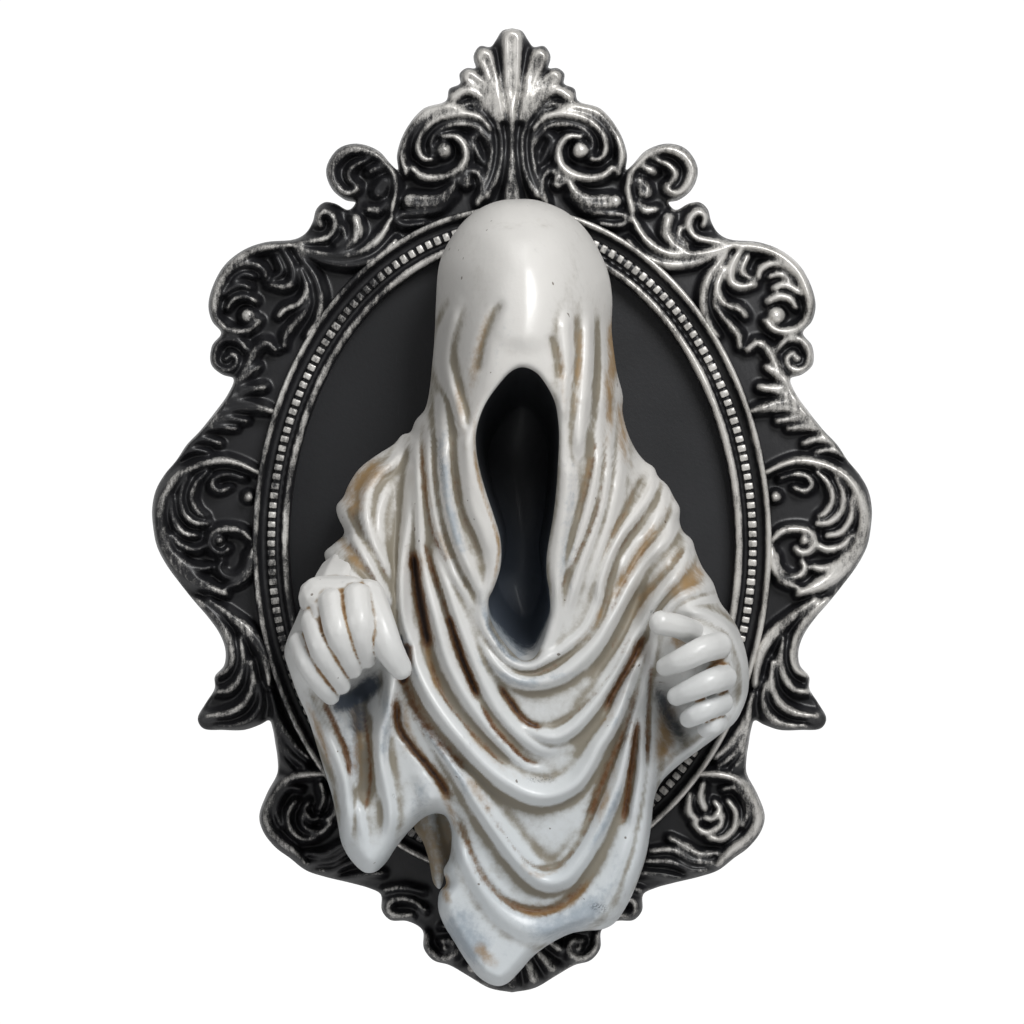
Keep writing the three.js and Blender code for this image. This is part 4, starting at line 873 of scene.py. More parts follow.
def build_beads():
    """A course of small square beads, evenly spaced round the oval."""
    a, b = OVAL_HALF_WIDTH + BEAD_OUT, OVAL_HALF_HEIGHT + BEAD_OUT
    fine = np.linspace(0, 2 * math.pi, 8001)
    steps = np.hypot(np.diff(a * np.cos(fine)), np.diff(b * np.sin(fine)))
    length = np.concatenate([[0], np.cumsum(steps)])
    angles = np.interp(np.arange(BEAD_COUNT) / BEAD_COUNT * length[-1], length, fine)
    bm = started("high")
    bmesh.ops.create_cube(bm, size=1)
    bmesh.ops.scale(bm, vec=(BEAD_WIDTH, BEAD_RISE, BEAD_LENGTH), verts=bm.verts)
    bmesh.ops.bevel(
        bm, geom=bm.edges[:], offset=BEAD_BEVEL, segments=2, profile=0.5, affect="EDGES", material=-1
    )
    one = bm.verts[:] + bm.edges[:] + bm.faces[:]
    rng = np.random.default_rng(4)
    for angle in angles:
        made = bmesh.ops.duplicate(bm, geom=one)["geom"]
        verts = [v for v in made if isinstance(v, bmesh.types.BMVert)]
        turn = math.atan2(b * math.cos(angle), -a * math.sin(angle)) - math.pi / 2
        size = 1 + rng.uniform(-0.08, 0.06)
        turned = Matrix.Rotation(-turn, 4, "Y") @ Matrix.Scale(size, 4)
        at = Vector((a * math.cos(angle), -BEAD_BASE, b * math.sin(angle)))
        bmesh.ops.transform(bm, matrix=Matrix.Translation(at) @ turned, verts=verts)
    bmesh.ops.delete(bm, geom=[g for g in one if isinstance(g, bmesh.types.BMVert)], context="VERTS")
    bmesh.ops.scale(bm, vec=(MM, MM, MM), verts=bm.verts)
    depth = -coordinates(bm)[:, 1] / MM
    mark(bm, bm.verts[:], high=0.12 + 0.54 * ramp(12.4, 13.9, depth))
    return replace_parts(finish_piece("frame_beads", bm, FRAME_PAINT), "baroque_frame")


# The robe, drawn as the front view shows it

ROBE_OUTLINE = [
    (1, 128.6), (7, 128.6), (13, 127.2), (20, 124), (27, 118), (32, 110.4), (35.8, 101.6),
    (37.4, 92), (37.2, 80), (38, 72), (39.2, 64), (41.4, 55), (41.2, 49.6), (43, 42), (46, 35.4),
    (49.4, 31), (53, 28.4), (54.6, 25), (58, 21.8), (60.6, 17), (62.6, 13.4), (62.6, 8),
    (64, 4.4), (67.2, 1.4), (68.6, -3), (71.2, -9), (75, -14.4), (77.6, -21.6), (82, -27.6),
    (85.4, -34), (88.2, -45), (88.2, -55), (86, -62), (83, -67), (78, -71), (70, -77), (62, -83),
    (55.4, -89.6), (53, -96), (52, -105), (50, -117), (47, -126), (43, -135), (38.4, -141.6),
    (34, -144), (28, -144.6), (22, -145.6), (15, -149), (8, -154), (3, -159.6), (-2, -164.4),
    (-6, -165.2), (-12, -162.2), (-17, -156), (-22, -148), (-25.6, -142), (-27.6, -136),
    (-27, -130), (-24.6, -127), (-25.6, -122), (-23.6, -118), (-22.6, -112), (-23, -105),
    (-25.4, -101.4), (-29, -100.8), (-33, -102.4), (-38, -107), (-43, -113), (-47, -119),
    (-51, -122.6), (-55, -122.8), (-60, -118.4), (-63.6, -112), (-65, -105), (-67, -95),
    (-70, -85), (-73, -75), (-76.6, -64), (-80, -56.6), (-83, -48), (-85, -41), (-84, -36),
    (-81, -29), (-78, -22), (-76, -18), (-72.4, -12), (-69.4, -8), (-70, -3.4), (-66.4, 0),
    (-62.6, 4), (-65, 10), (-65.6, 14), (-63, 17.4), (-61, 22), (-57, 28), (-50, 33.4),
    (-44, 37.2), (-41, 40.6), (-38, 41.6), (-36, 46), (-32.6, 50), (-31, 56), (-30, 65),
    (-29, 76), (-28.4, 90), (-27.6, 102), (-26, 108), (-22, 115.4), (-16.4, 122), (-10, 126.2),
    (-4, 128.2),
]
HOOD_OPENING = [
    (4, 66), (0, 64.6), (-5, 59.4), (-10, 52), (-13, 44), (-13.6, 38), (-12.6, 30), (-10, 20),
    (-7, 11), (-4.6, 3), (-4, -3), (-4.6, -10), (-7, -17), (-8.8, -21), (-8.4, -27), (-5, -34),
    (0, -40.4), (4, -43.6), (8, -42.8), (11, -38), (13, -32), (14.4, -26), (14, -18), (13, -12),
    (13, -5), (14, 2), (15.4, 10), (16.6, 20), (17.2, 30), (17.6, 38), (17.4, 45), (16, 53),
    (13, 59), (9, 64),
]

# Front of the body before its folds: heights against depths, widths and edge rolls
BODY_DEPTHS = [(128, 84), (100, 94), (70, 101), (40, 94), (0, 84), (-45, 79), (-100, 67), (-165, 50)]
BODY_WIDTHS = [(128, 40), (60, 42), (10, 52), (-50, 58), (-165, 66)]
EDGE_ROLLS = [(128, 29), (60, 27), (30, 15), (-50, 12), (-75, 8), (-165, 4)]
EDGE_DEPTHS = [(128, 46), (40, 40), (-40, 50), (-80, 44), (-165, 38)]
# Shoulder and wrist, as x, z, depth of the arm's middle line, and radius
ARMS = [
    ((-48, 24, 34, 19), (-66, -28, 62, 20)),
    ((50, 20, 34, 19), (72, -36, 62, 19)),
]
# Top and bottom of a hanging sleeve, as x, z and depth, and its half width
SLEEVES = [
    ((-58, -50, 66), (-54, -122, 52), 22),
    ((66, -60, 60), (54, -100, 54), 16),
]
# Where the cloth is pressed in: middle, half width, half height, and how far
PRESSED = [
    ((-55, -52), 8, 16, 16),
    ((62, -60), 10, 14, 14),
    ((-31, -113), 6, 12, 16),
]

# Folds: points along the crest, half widths, height, and lean to the line's left
FOLDS = [
    # hood
    ([(5, 120), (5, 100), (5, 84), (4.4, 70)], (16, 15, 12, 8), 3.0, 0.0),
    ([(-20, 90), (-24.6, 78), (-25.6, 69), (-23.4, 60), (-20, 51), (-18, 40)],
     (2.6, 3.2, 3.4, 3.2, 3, 2.4), 5.2, -0.2),
    ([(19.6, 88), (20.8, 72), (20.4, 58), (18.8, 44)], (2.8, 3.2, 3, 2.6), 3.6, 0.0),
    ([(28.2, 88), (28.6, 74), (27.6, 60), (26, 46), (24, 30)], (2.4, 3, 3, 3, 2.6), 4.6, 0.0),
    ([(34.6, 86), (35.2, 70), (34.6, 58), (34, 46)], (2.2, 2.6, 2.6, 2.2), 2.6, 0.0),
    # left of the opening
    ([(-17.4, 44), (-17, 28), (-14.6, 14), (-10.4, 3), (-8.8, -6)], (3, 3.4, 3.2, 2.8, 2.2), 2.6, 0.0),
    ([(-27, 60), (-26.2, 44), (-25.4, 28), (-23.4, 12), (-19.8, -1), (-14.8, -12), (-10.8, -21)],
     (2.4, 3, 3.2, 3.2, 3, 2.8, 2.2), 4.0, 0.0),
    ([(-31.8, 46), (-31.2, 28), (-29.6, 12), (-26.4, -1), (-21.2, -13), (-15.6, -22)],
     (2, 2.2, 2.4, 2.4, 2.4, 2), 3.0, 0.0),
    ([(-35.8, 46), (-36, 28), (-35.4, 12), (-34.8, 1), (-33.2, -12), (-29, -28), (-24.8, -43), (-20, -53),
      (-13, -63.6), (-4, -74.4), (5, -83), (14, -86)],
     (2.4, 2.8, 3, 2.8, 2.8, 3.2, 3.4, 3.6, 3.8, 3.6, 3, 2), 4.2, 0.1),
    ([(-30.4, -1), (-27.2, -9), (-23.2, -20), (-19.6, -31), (-15.6, -41), (-10.4, -53), (-4, -64),
      (4, -72.4), (12.4, -77.2), (21, -75.6)],
     (1.8, 2.2, 2.6, 3, 3.2, 3.4, 3.4, 3.4, 3, 2), 3.4, 0.1),
    # right of the opening
    ([(22, 34), (21.4, 18), (18.8, 2), (17.6, -12), (17.4, -26)], (3, 3.2, 3, 2.8, 2.4), 2.8, 0.0),
    ([(33.2, 50), (32.4, 34), (30.4, 20), (27.4, 8), (23.4, -4), (20, -14)],
     (1.8, 2.2, 2.4, 2.4, 2.2, 1.8), 3.0, 0.0),
    ([(37, 48), (36, 30), (34, 16), (31, 6), (27.6, -4), (23.6, -16), (20, -28)],
     (2, 2.2, 2.4, 2.4, 2.4, 2.4, 2), 3.2, 0.0),
    ([(41.4, 46), (40.6, 30), (38.6, 16), (35.4, 4), (31, -8), (27, -20)],
     (2.2, 2.8, 2.8, 2.6, 2.4, 2), 2.8, 0.0),
    # the collar and the swags under it
    ([(36.2, -4), (33.6, -14), (31, -25), (27, -32.6), (20.8, -38), (13.4, -43), (6, -46), (-1, -44),
      (-7, -37), (-11.4, -29)],
     (1.8, 2.2, 2.4, 2.4, 2.4, 2.4, 2.2, 2.2, 2, 1.6), 2.8, 0.0),
    ([(62, 14.7), (61.4, 9), (58.6, 3), (54, -2), (49.3, -7), (45.5, -13.7), (41.8, -20.4), (37.5, -28),
      (32.3, -37), (25.4, -44.4), (17.7, -50), (8.5, -52.2), (0, -50.4), (-6.4, -44.6), (-12, -36)],
     (2.2, 2.8, 3.2, 3.4, 3.4, 3.4, 3.6, 3.8, 4, 4, 4, 3.8, 3.2, 2.6, 2), 4.8, -0.2),
    ([(67.4, 2), (66.4, -3.4), (62.8, -10), (58.3, -15.4), (53.8, -21), (50, -27), (46.6, -34), (43, -41),
      (39, -48), (33, -57), (27.7, -64), (22.3, -69.4), (16, -72.6), (8.5, -71), (1, -65)],
     (2.2, 2.6, 2.8, 3, 3, 3, 3, 3, 3.2, 3.4, 3.6, 3.6, 3.6, 3, 2), 5.0, -0.15),
    ([(-37.6, 36), (-38.6, 20), (-39.6, 8), (-40.8, -3), (-41.4, -14), (-41, -26), (-39, -38), (-36, -48),
      (-31.6, -57), (-25.6, -66), (-18, -75), (-10, -83.6), (-1, -90.4), (8.5, -94.6), (16, -94.2),
      (24, -90), (28.8, -83.6), (32.8, -76), (37.9, -68), (42.3, -58.7), (46, -49), (50, -38)],
     (2, 2.4, 2.8, 3, 3, 3, 3, 3.4, 4, 4.6, 5, 5.2, 5.4, 5.6, 5.6, 5, 4.2, 3.6, 3.2, 3, 2.8, 2.2), 6.6, 0.3),
    ([(-41, -53), (-36, -63.5), (-30, -72), (-23.6, -80.6), (-18.8, -88.6), (-13, -97.6), (-7, -106.4),
      (-0.6, -115), (5.6, -122.4), (12, -126.6), (19, -125.8), (25, -120), (30.6, -111.6), (35.4, -102),
      (39.4, -92), (42.4, -81), (45, -69), (47.4, -57), (50, -44)],
     (1.6, 2, 2.6, 3.4, 4, 4.6, 5, 5.2, 5.4, 5.4, 5.2, 4.6, 4, 3.4, 3, 2.6, 2.4, 2, 1.6), 6.4, 0.3),
    ([(-22, -104), (-18.6, -114), (-13.6, -125), (-5, -137), (4, -143.6), (15, -144.6), (26, -139.4),
      (36, -128), (43, -112), (46.4, -98)],
     (3, 4, 5, 5.6, 6, 6, 5.6, 5, 4, 3), 3.4, 0.2),
    # right shoulder and sleeve
    ([(53, 28), (53, 23.6), (50.7, 17.7), (46.3, 10.2), (41, 3.5), (37.3, -3.2), (35, -9.2), (33.2, -15),
      (32.4, -21), (29.6, -27)],
     (1.6, 2, 2.2, 2.4, 2.4, 2.2, 2.2, 2.2, 2, 1.6), 4.6, 0.0),
    ([(58, 22), (56.4, 14), (52, 6.6), (47, 0), (42.6, -7), (39.4, -14)],
     (1.6, 2.2, 2.4, 2.4, 2.2, 1.6), 2.2, 0.0),
    ([(75.4, -15.6), (70, -17.2), (64.3, -19.4), (59.4, -23), (55, -29), (51.6, -36)],
     (1.4, 1.8, 2, 2.2, 2.2, 1.8), 2.8, 0.0),
    ([(78, -20.4), (71.7, -21.2), (65.7, -22.8), (61, -25.6)], (1, 1.3, 1.4, 1.2), 1.8, 0.0),
    ([(53.4, -34), (50.6, -48), (48.8, -61), (48.6, -74), (48.2, -86), (46, -99), (43.4, -111)],
     (1.4, 1.8, 2, 2.2, 2.4, 2.4, 2), 4.0, 0.0),
    ([(55, -58), (53, -74), (51.6, -90), (49.6, -106), (46, -120), (41, -132)],
     (2, 2.6, 2.8, 3, 3, 2.6), 3.0, 0.0),
    ([(81, -68), (71, -75.6), (61.6, -83), (54.8, -91)], (2, 2.6, 2.8, 2.2), 3.4, 0.0),
    # left shoulder and sleeve
    ([(-40.3, 37.3), (-44.9, 30.2), (-50, 26.3), (-53.6, 21), (-54.6, 16.6), (-54.3, 7.5), (-51.4, 0),
      (-48, -6.7), (-44.2, -16.4)],
     (1.8, 2.2, 2.4, 2.6, 2.6, 2.6, 2.6, 2.4, 1.8), 4.0, 0.0),
    ([(-66, 13.4), (-63, 7.6), (-59, 1), (-54.6, -5.4), (-50.7, -12.5), (-46.8, -19.6), (-44.2, -26)],
     (1.8, 2.2, 2.4, 2.6, 2.6, 2.4, 1.8), 4.0, 0.0),
    ([(-69.4, -2), (-66, -6.7), (-61.6, -11), (-57, -14.3), (-51.4, -18.4), (-46.8, -23.6)],
     (1.6, 2, 2.2, 2.2, 2, 1.6), 3.0, 0.0),
    ([(-72.6, -12.8), (-68, -12), (-62.6, -13.6)], (1.2, 1.5, 1.2), 2.0, 0.0),
    ([(-46, 22), (-49.4, 12), (-49, 2), (-45.6, -8)], (1.6, 2, 2, 1.6), 1.6, 0.0),
    ([(-45.4, -46), (-46, -60), (-48.5, -70), (-49, -80), (-46.8, -91), (-45.4, -101), (-46.4, -111)],
     (2.4, 3.2, 3.6, 3.6, 3.4, 3, 2.4), 5.2, 0.0),
    ([(-79, -54), (-74, -66), (-68, -76), (-63, -87), (-61.4, -98), (-62, -110)],
     (2, 2.8, 3.2, 3.2, 3, 2.2), 4.4, 0.0),
    ([(-60, -58), (-58.6, -72), (-58.2, -86), (-57, -100), (-54.6, -114)], (1.4, 1.8, 2, 2.2, 2), 2.2, 0.0),
    ([(-36, -84), (-32, -92), (-29, -99)], (3, 3.6, 3), 1.6, 0.0),
    # cuffs
    ([(-80, -30), (-75, -21.6), (-68, -17.4), (-61, -15.8), (-55, -17.4), (-50, -21), (-46.4, -27),
      (-45, -35)],
     (1.6, 2, 2, 2, 2, 2, 1.8, 1.4), 4.0, 0.0),
    ([(60, -25), (68, -25.4), (76, -28), (82.6, -33), (86.4, -42), (87.8, -50), (86.6, -60), (83, -67)],
     (1.6, 2, 2, 2, 2, 2, 1.8, 1.6), 3.6, 0.0),
]

# Cut grooves: points, half width, depth, and how dark the glaze in them is
GROOVES = [
    ([(-3, 92), (-7, 85), (-10, 78), (-12, 70), (-13.6, 62)], 2.0, 2.0, 0.12),
    ([(-20.6, 62), (-18.6, 52), (-16.4, 42)], 1.6, 1.6, 0.2),
    ([(14.4, 79), (16.6, 70), (18.4, 61)], 1.7, 1.8, 0.12),
    ([(24.6, 86), (24.8, 72), (23, 60), (21, 48)], 2.0, 1.8, 0.15),
    ([(31.6, 86), (32, 74), (32, 62), (31, 50), (30.2, 40)], 1.3, 1.6, 0.2),
    ([(-33.9, 42), (-33.4, 29), (-32.4, 19), (-31, 10.8), (-29, 3), (-25.4, -5), (-20.4, -13.6)],
     0.9, 1.6, 0.5),
    ([(-29.6, 44), (-29, 25.7), (-27, 12.7), (-23.9, -0.2), (-19.4, -10), (-14.8, -19), (-11, -27)],
     0.9, 1.5, 0.35),
    ([(-22.8, 44), (-21.5, 25.7), (-19, 12.7), (-15.7, 5), (-12.2, -3), (-10.6, -12)], 1.2, 1.8, 0.35),
    ([(-37.6, -0.5), (-36.5, -6.7), (-35.1, -16.4), (-33.5, -26), (-31.6, -36), (-30.8, -41.6)],
     1.6, 3.6, 1.15),
    ([(-31.6, -37), (-30, -45), (-27.7, -52.5), (-23.8, -59.5), (-18.4, -66.5), (-12.3, -73.5),
      (-5.4, -80.5), (1, -86)],
     0.8, 1.6, 0.55),
    ([(-33, 2.4), (-30.8, -6), (-27.7, -15.4), (-24.6, -24.7), (-22.6, -31)], 1.0, 2.4, 0.6),
    ([(-25, -23), (-21.5, -34), (-18.5, -43.3), (-14.6, -52.6), (-11.6, -60)], 1.4, 3.0, 1.05),
    ([(-12.6, -58), (-7, -68), (-0.8, -75), (5.4, -80.8), (12.3, -82.7)], 0.8, 1.8, 0.75),
    ([(-5.6, -51.4), (-2.3, -56.5), (0.8, -61), (4.6, -65.7), (8.5, -68), (13, -68.8)], 1.0, 2.4, 0.9),
    ([(12, -68.8), (20, -66), (28, -59.4), (35, -51), (40.6, -42), (45, -33)], 0.9, 1.3, 0.3),
    ([(-41.4, -45), (-38.4, -56), (-34.6, -64.4), (-28, -73), (-21, -80.4), (-14.6, -88)], 2.3, 4.2, 0.55),
    ([(-18, -87), (-10, -98), (-3, -108.5), (2.6, -116), (9, -121), (16, -121), (22, -116), (27, -108),
      (31, -98), (34, -88), (38, -76)],
     1.1, 1.6, 0.35),
    ([(-43.4, -53), (-42.4, -68), (-37.6, -75.6), (-31, -83.5), (-25.4, -91), (-21.6, -99)], 1.4, 3.6, 0.9),
    ([(-22.4, -96), (-19, -106), (-14.6, -117), (-8, -128), (0, -134.8), (8, -137.2), (16, -136.2),
      (24, -130.6), (31, -121)],
     1.6, 2.4, 0.5),
    ([(50.4, -32), (45.6, -42), (41, -50), (37, -57), (34, -64.6)], 1.4, 3.6, 0.8),
    ([(51, -14), (45.4, -23), (40.4, -33), (34.4, -43), (27.4, -52)], 2.0, 1.8, 0.2),
    ([(49.4, -48), (46, -57), (42.8, -68), (39.4, -76), (35.8, -84), (32.8, -92), (29.6, -101), (26, -110)],
     1.6, 3.0, 0.55),
    ([(47.4, -62), (45.2, -78), (43.4, -92), (41, -107)], 1.1, 2.4, 0.8),
    ([(52.4, -42), (51, -58), (50.6, -72), (50.6, -86)], 0.9, 2.0, 0.6),
    ([(-58, -50), (-55.6, -70), (-55, -85), (-57, -101)], 4.2, 5.4, 0.1),
    ([(-56, -60), (-53.5, -75), (-53, -90), (-55.5, -103)], 0.8, 1.2, 0.6),
    ([(-72, -56), (-67, -66), (-62, -78), (-60, -90)], 1.1, 1.8, 0.75),
    ([(-39.4, -36), (-39.6, -48), (-41.6, -54)], 1.6, 3.4, 1.1),
    ([(50.6, 29), (47.8, 23.7), (43.3, 14.7), (40.4, 8), (36.8, 1), (33.6, -7)], 0.9, 1.4, 0.3),
    ([(53, 17), (48.2, 9.5), (44, 3.5), (39.8, -3), (37.5, -10), (35.6, -17), (34.8, -26)], 0.9, 1.4, 0.35),
    ([(59, 12), (55.4, 4.6), (49.8, -2), (45, -8.6), (41, -16), (37.4, -24), (33.4, -31)], 0.9, 1.4, 0.35),
    ([(65.4, -1), (60, -8.4), (54.6, -14), (49.8, -19.6)], 0.9, 1.4, 0.3),
    ([(31.9, 42), (30.2, 31), (28.4, 23.7), (26, 16), (24, 8)], 1.1, 1.5, 0.35),
    ([(35.6, 42), (34, 23.7), (32, 14), (29, 5), (26, -1), (22.4, -8.4), (19, -16), (18.4, -26)],
     1.0, 1.5, 0.35),
    ([(38.9, 40), (37.7, 25), (35.8, 14)], 0.9, 1.2, 0.2),
    ([(-64, 16), (-57.8, 8.2), (-53.3, -0.2), (-48.7, -8), (-45, -16)], 0.8, 1.3, 0.4),
    ([(-64, 5), (-57.8, -3.4), (-52, -12.5), (-48, -19)], 0.8, 1.3, 0.45),
    ([(39, -7), (35.6, -19), (33.8, -28.4), (27.7, -36.6), (20, -43), (12.3, -47.6), (5, -48.6),
      (-3, -44.6), (-9.6, -36), (-14.6, -27)],
     0.9, 1.4, 0.3),
]

# Rubbed glaze with no groove of its own: points, half width, strength
STAINS = [
    ([(-6, 92), (-11, 79), (-14, 66), (-15.6, 50)], 4, 0.6),
    ([(-21, 64), (-19, 48), (-17, 30)], 3, 0.5),
    ([(16, 80), (18.6, 64), (20, 44)], 3, 0.5),
    ([(24.6, 88), (24.6, 66), (22.6, 44)], 3.4, 0.75),
    ([(35, 92), (37, 74), (36.4, 54), (34.6, 30)], 4, 0.75),
    ([(39, 60), (41, 46), (42, 34), (46, 24)], 4, 0.6),
    ([(-33, 52), (-32, 20), (-26, 0), (-14, -22)], 3, 0.5),
    ([(-44, 32), (-54, 26), (-60, 18), (-58, 6)], 9, 0.6),
    ([(-66, 4), (-60, -4), (-54, -12)], 4, 0.8),
    ([(-72, -8), (-64, -12), (-56, -15)], 3, 0.6),
    ([(60, 16), (50, 0), (40, -16), (34, -28)], 4.4, 0.6),
    ([(66, 2), (57, -10), (48, -22), (40, -36)], 4.4, 0.5),
    ([(73, -6), (66, -14), (57, -21)], 9, 0.6),
    ([(47, 26), (42, 12), (36, 0), (33, -12)], 3, 0.5),
    ([(30, 36), (27, 20), (24, 6)], 3, 0.45),
    ([(56, -52), (58, -66), (55, -88)], 7, 0.75),
    ([(58, -37), (64, -35), (72, -33)], 7, 0.85),
    ([(-60, -50), (-58, -70), (-57, -96)], 5, 0.5),
    ([(-78, -56), (-72, -70), (-66, -88)], 3, 0.6),
    ([(-34, -20), (-32, -36), (-29, -50), (-22, -63)], 3, 0.6),
    ([(-22, -64), (-12, -75), (0, -86), (10, -88)], 2.6, 0.45),
    ([(-40, -50), (-39, -68), (-28, -88), (-21, -104), (-14, -120)], 3, 0.7),
    ([(-24, -122), (-25, -130), (-23, -136)], 3, 0.75),
    ([(-15, -148), (-10, -153), (-4, -159)], 5, 0.65),
    ([(-11, 58), (-13.6, 48), (-14.2, 38), (-12.8, 26), (-8, 10), (-5, 0), (-6, -10), (-9, -22)], 1.4, 0.8),
    ([(-18, -84), (-12, -94), (-6, -104)], 4, 0.5),
    ([(30, -108), (35, -94), (40, -78)], 4, 0.55),
    ([(0, -116), (10, -124), (24, -118)], 2.4, 0.4),
    ([(-4, -132), (8, -138), (22, -134), (32, -122)], 3, 0.65),
    ([(20, -40), (30, -32), (35, -20)], 2.6, 0.6),
    ([(30, -72), (38, -62), (46, -44)], 3, 0.5),
]

# Blue-grey tint left on some folds, and blue-grey painted shade in the sleeve hollows, below the collar and
# on the hem: points, half width, strength
TINT_AND_SHADE_STROKES = [
    ([(-26, 46), (-25, 24), (-21, 4), (-14, -12)], 4, 0.9),
    ([(-12, -18), (-8, -30), (0, -42), (9, -45)], 3.4, 1.2),
    ([(-47, -50), (-47, -70), (-48, -84)], 4, 0.8),
    ([(-70, -58), (-64, -66), (-60, -78)], 4, 0.7),
    ([(-38, -60), (-30, -73), (-21, -85), (-14, -98)], 2.6, 0.9),
    ([(-40, -30), (-38, -44), (-33, -54)], 2.6, 0.7),
    ([(24, 30), (22, 10), (20, -10), (24, -26)], 5, 0.6),
    ([(49, -30), (44, -44), (38, -56), (30, -66)], 2.6, 0.6),
    ([(46, -48), (42, -60), (36, -72)], 2.6, 0.7),
    ([(42, -86), (38, -98), (33, -108), (27, -117)], 3, 1.0),
    ([(-47, -18), (-46, -26), (-47, -34)], 3, 0.8),
    ([(40, -112), (38, -126), (30, -136)], 5, 0.5),
    ([(0, -148), (-4, -156)], 5, 0.5),
    ([(10, -50), (24, -48), (34, -38)], 4, 0.5),
    ([(-60, -54), (-58, -72), (-57, -94)], 7, 1.0),
    ([(-8, 60), (-2, 84), (-4, 104)], 6, 0.25),
    ([(-24, -134), (-16, -148), (-8, -158)], 14, 1.05),
    ([(2, -144), (20, -142), (38, -130)], 10, 1.0),
    ([(-36, -86), (-34, -94), (-40, -104)], 8, 0.6),
    ([(-15, -36), (-8, -47), (4, -52), (16, -50)], 4, 0.8),
]

# Recesses under and between the fingers, pressed in and darkened with painted shade: points, half width,
# strength
RECESSES = [
    ([(-72, -58), (-62, -59), (-54, -54), (-48, -47)], 7.5, 0.85),
    ([(-58, -56), (-56.6, -74)], 6, 0.6),
    ([(-42.4, -33), (-41, -42)], 2.4, 1.0),
    ([(53, -50), (56, -59), (60.6, -68), (67, -76)], 5.2, 0.6),
    ([(-10.4, -24), (-7, -34), (-1.6, -41.6), (4, -45)], 3, 0.42),
]

# Small graphite smudges: points, half width, strength
SMUDGES = [
    ([(6, -88), (16, -88)], 1.8, 1.0),
    ([(29, -135), (36, -137)], 2.4, 1.0),
    ([(51, -25.4), (54, -26)], 1.0, 0.9),
    ([(-27, 36), (-25.6, 22)], 1.4, 0.5),
    ([(-68, -50), (-66, -51)], 0.9, 0.6),
    ([(-45, -93), (-43, -96)], 0.9, 0.5),
]


def table(rows, z):
    heights = [r[0] for r in rows][::-1]
    values = [r[1] for r in rows][::-1]
    fine = np.linspace(heights[0], heights[-1], 120)
    level = np.interp(fine, heights, values)
    for _ in range(3):
        level = np.convolve(np.pad(level, 4, mode="edge"), np.ones(9) / 9, mode="valid")
    return np.interp(z, fine, level)


def soft_max(a, b, blend_over=6.0):
    h = np.maximum(0, blend_over - np.abs(a - b)) / blend_over
    return np.maximum(a, b) + h * h * blend_over / 4


def arm_depth(arm, x, z):
    shoulder, wrist = arm
    line = np.array([shoulder[:2], wrist[:2]], float)
    distance, t, _ = near_line(x, z, line)
    radius = (shoulder[3] + (wrist[3] - shoulder[3]) * t) * 1.25
    axis = shoulder[2] + (wrist[2] - shoulder[2]) * t
    share = np.minimum(1, distance / radius)
    return axis + radius * np.sqrt(1 - share**2) - 4 * share


def sleeve_depth(sleeve, x, z):
    top, bottom, half = sleeve
    t = np.clip((z - top[1]) / (bottom[1] - top[1]), 0, 1)
    middle = top[0] + (bottom[0] - top[0]) * t
    share = np.minimum(1, np.abs(x - middle) / half)
    above = ramp(top[1] + 24, top[1], z)
    depth = top[2] + (bottom[2] - top[2]) * t
    return depth * (0.55 + 0.45 * np.sqrt(1 - share**2)) * above


def fold_field(net):
    """The folds' height over the cloth: each is a soft ridge, and where two meet a valley stays."""
    total = net.zeros()
    for points, widths, height, lean in FOLDS:
        line = smooth_line(points, LINE_STEPS)
        rows, columns = net.window(line, max(widths) * 1.9)
        x, z = net.x[rows, columns], net.z[rows, columns]
        distance, share, side = near_line(x, z, line)
        half = rib_width(widths, share) * FOLD_SPREAD * (1 + lean * side)
        over = np.clip(distance / half, 0, 1)
        ends = np.minimum(ramp(0, 0.16, share), ramp(1, 0.84, share)) * 0.85 + 0.15
        bump = FOLD_RISE * height * ends * (1 - over**1.45) ** 1.55
        total[rows, columns] += bump**FOLD_BLEND
    return total ** (1 / FOLD_BLEND)


def groove_fields(net):
    """How deep the grooves are cut, and how dark the brown glaze in them is."""
    cut, dark = net.zeros(), net.zeros()
    for points, half, depth, darkness in GROOVES:
        line = smooth_line(points, LINE_STEPS)
        rows, columns = net.window(line, half * 4)
        distance, share, _ = near_line(net.x[rows, columns], net.z[rows, columns], line)
        ends = np.minimum(ramp(0, 0.18, share), ramp(1, 0.82, share))
        value = depth * ends * (1 - np.clip(distance / (half * 1.5), 0, 1) ** 2) ** 2
        cut[rows, columns] = np.maximum(cut[rows, columns], value)
        away = np.clip(distance / (2.3 * half), 0, 1)
        value = darkness * (ends * 0.85 + 0.15) * (1 - away) ** 1.4
        dark[rows, columns] = np.maximum(dark[rows, columns], value)
    return cut, dark


def glaze_field(net, strokes):
    """Soft strokes of rubbed colour."""
    glaze = net.zeros()
    for points, half, strength in strokes:
        line = smooth_line(points, LINE_STEPS)
        rows, columns = net.window(line, half * 2)
        distance, share, _ = near_line(net.x[rows, columns], net.z[rows, columns], line)
        ends = np.minimum(ramp(0, 0.3, share), ramp(1, 0.7, share)) * 0.8 + 0.2
        value = strength * ends * (1 - ramp(0, half, distance))
        glaze[rows, columns] = np.maximum(glaze[rows, columns], value)
    return glaze


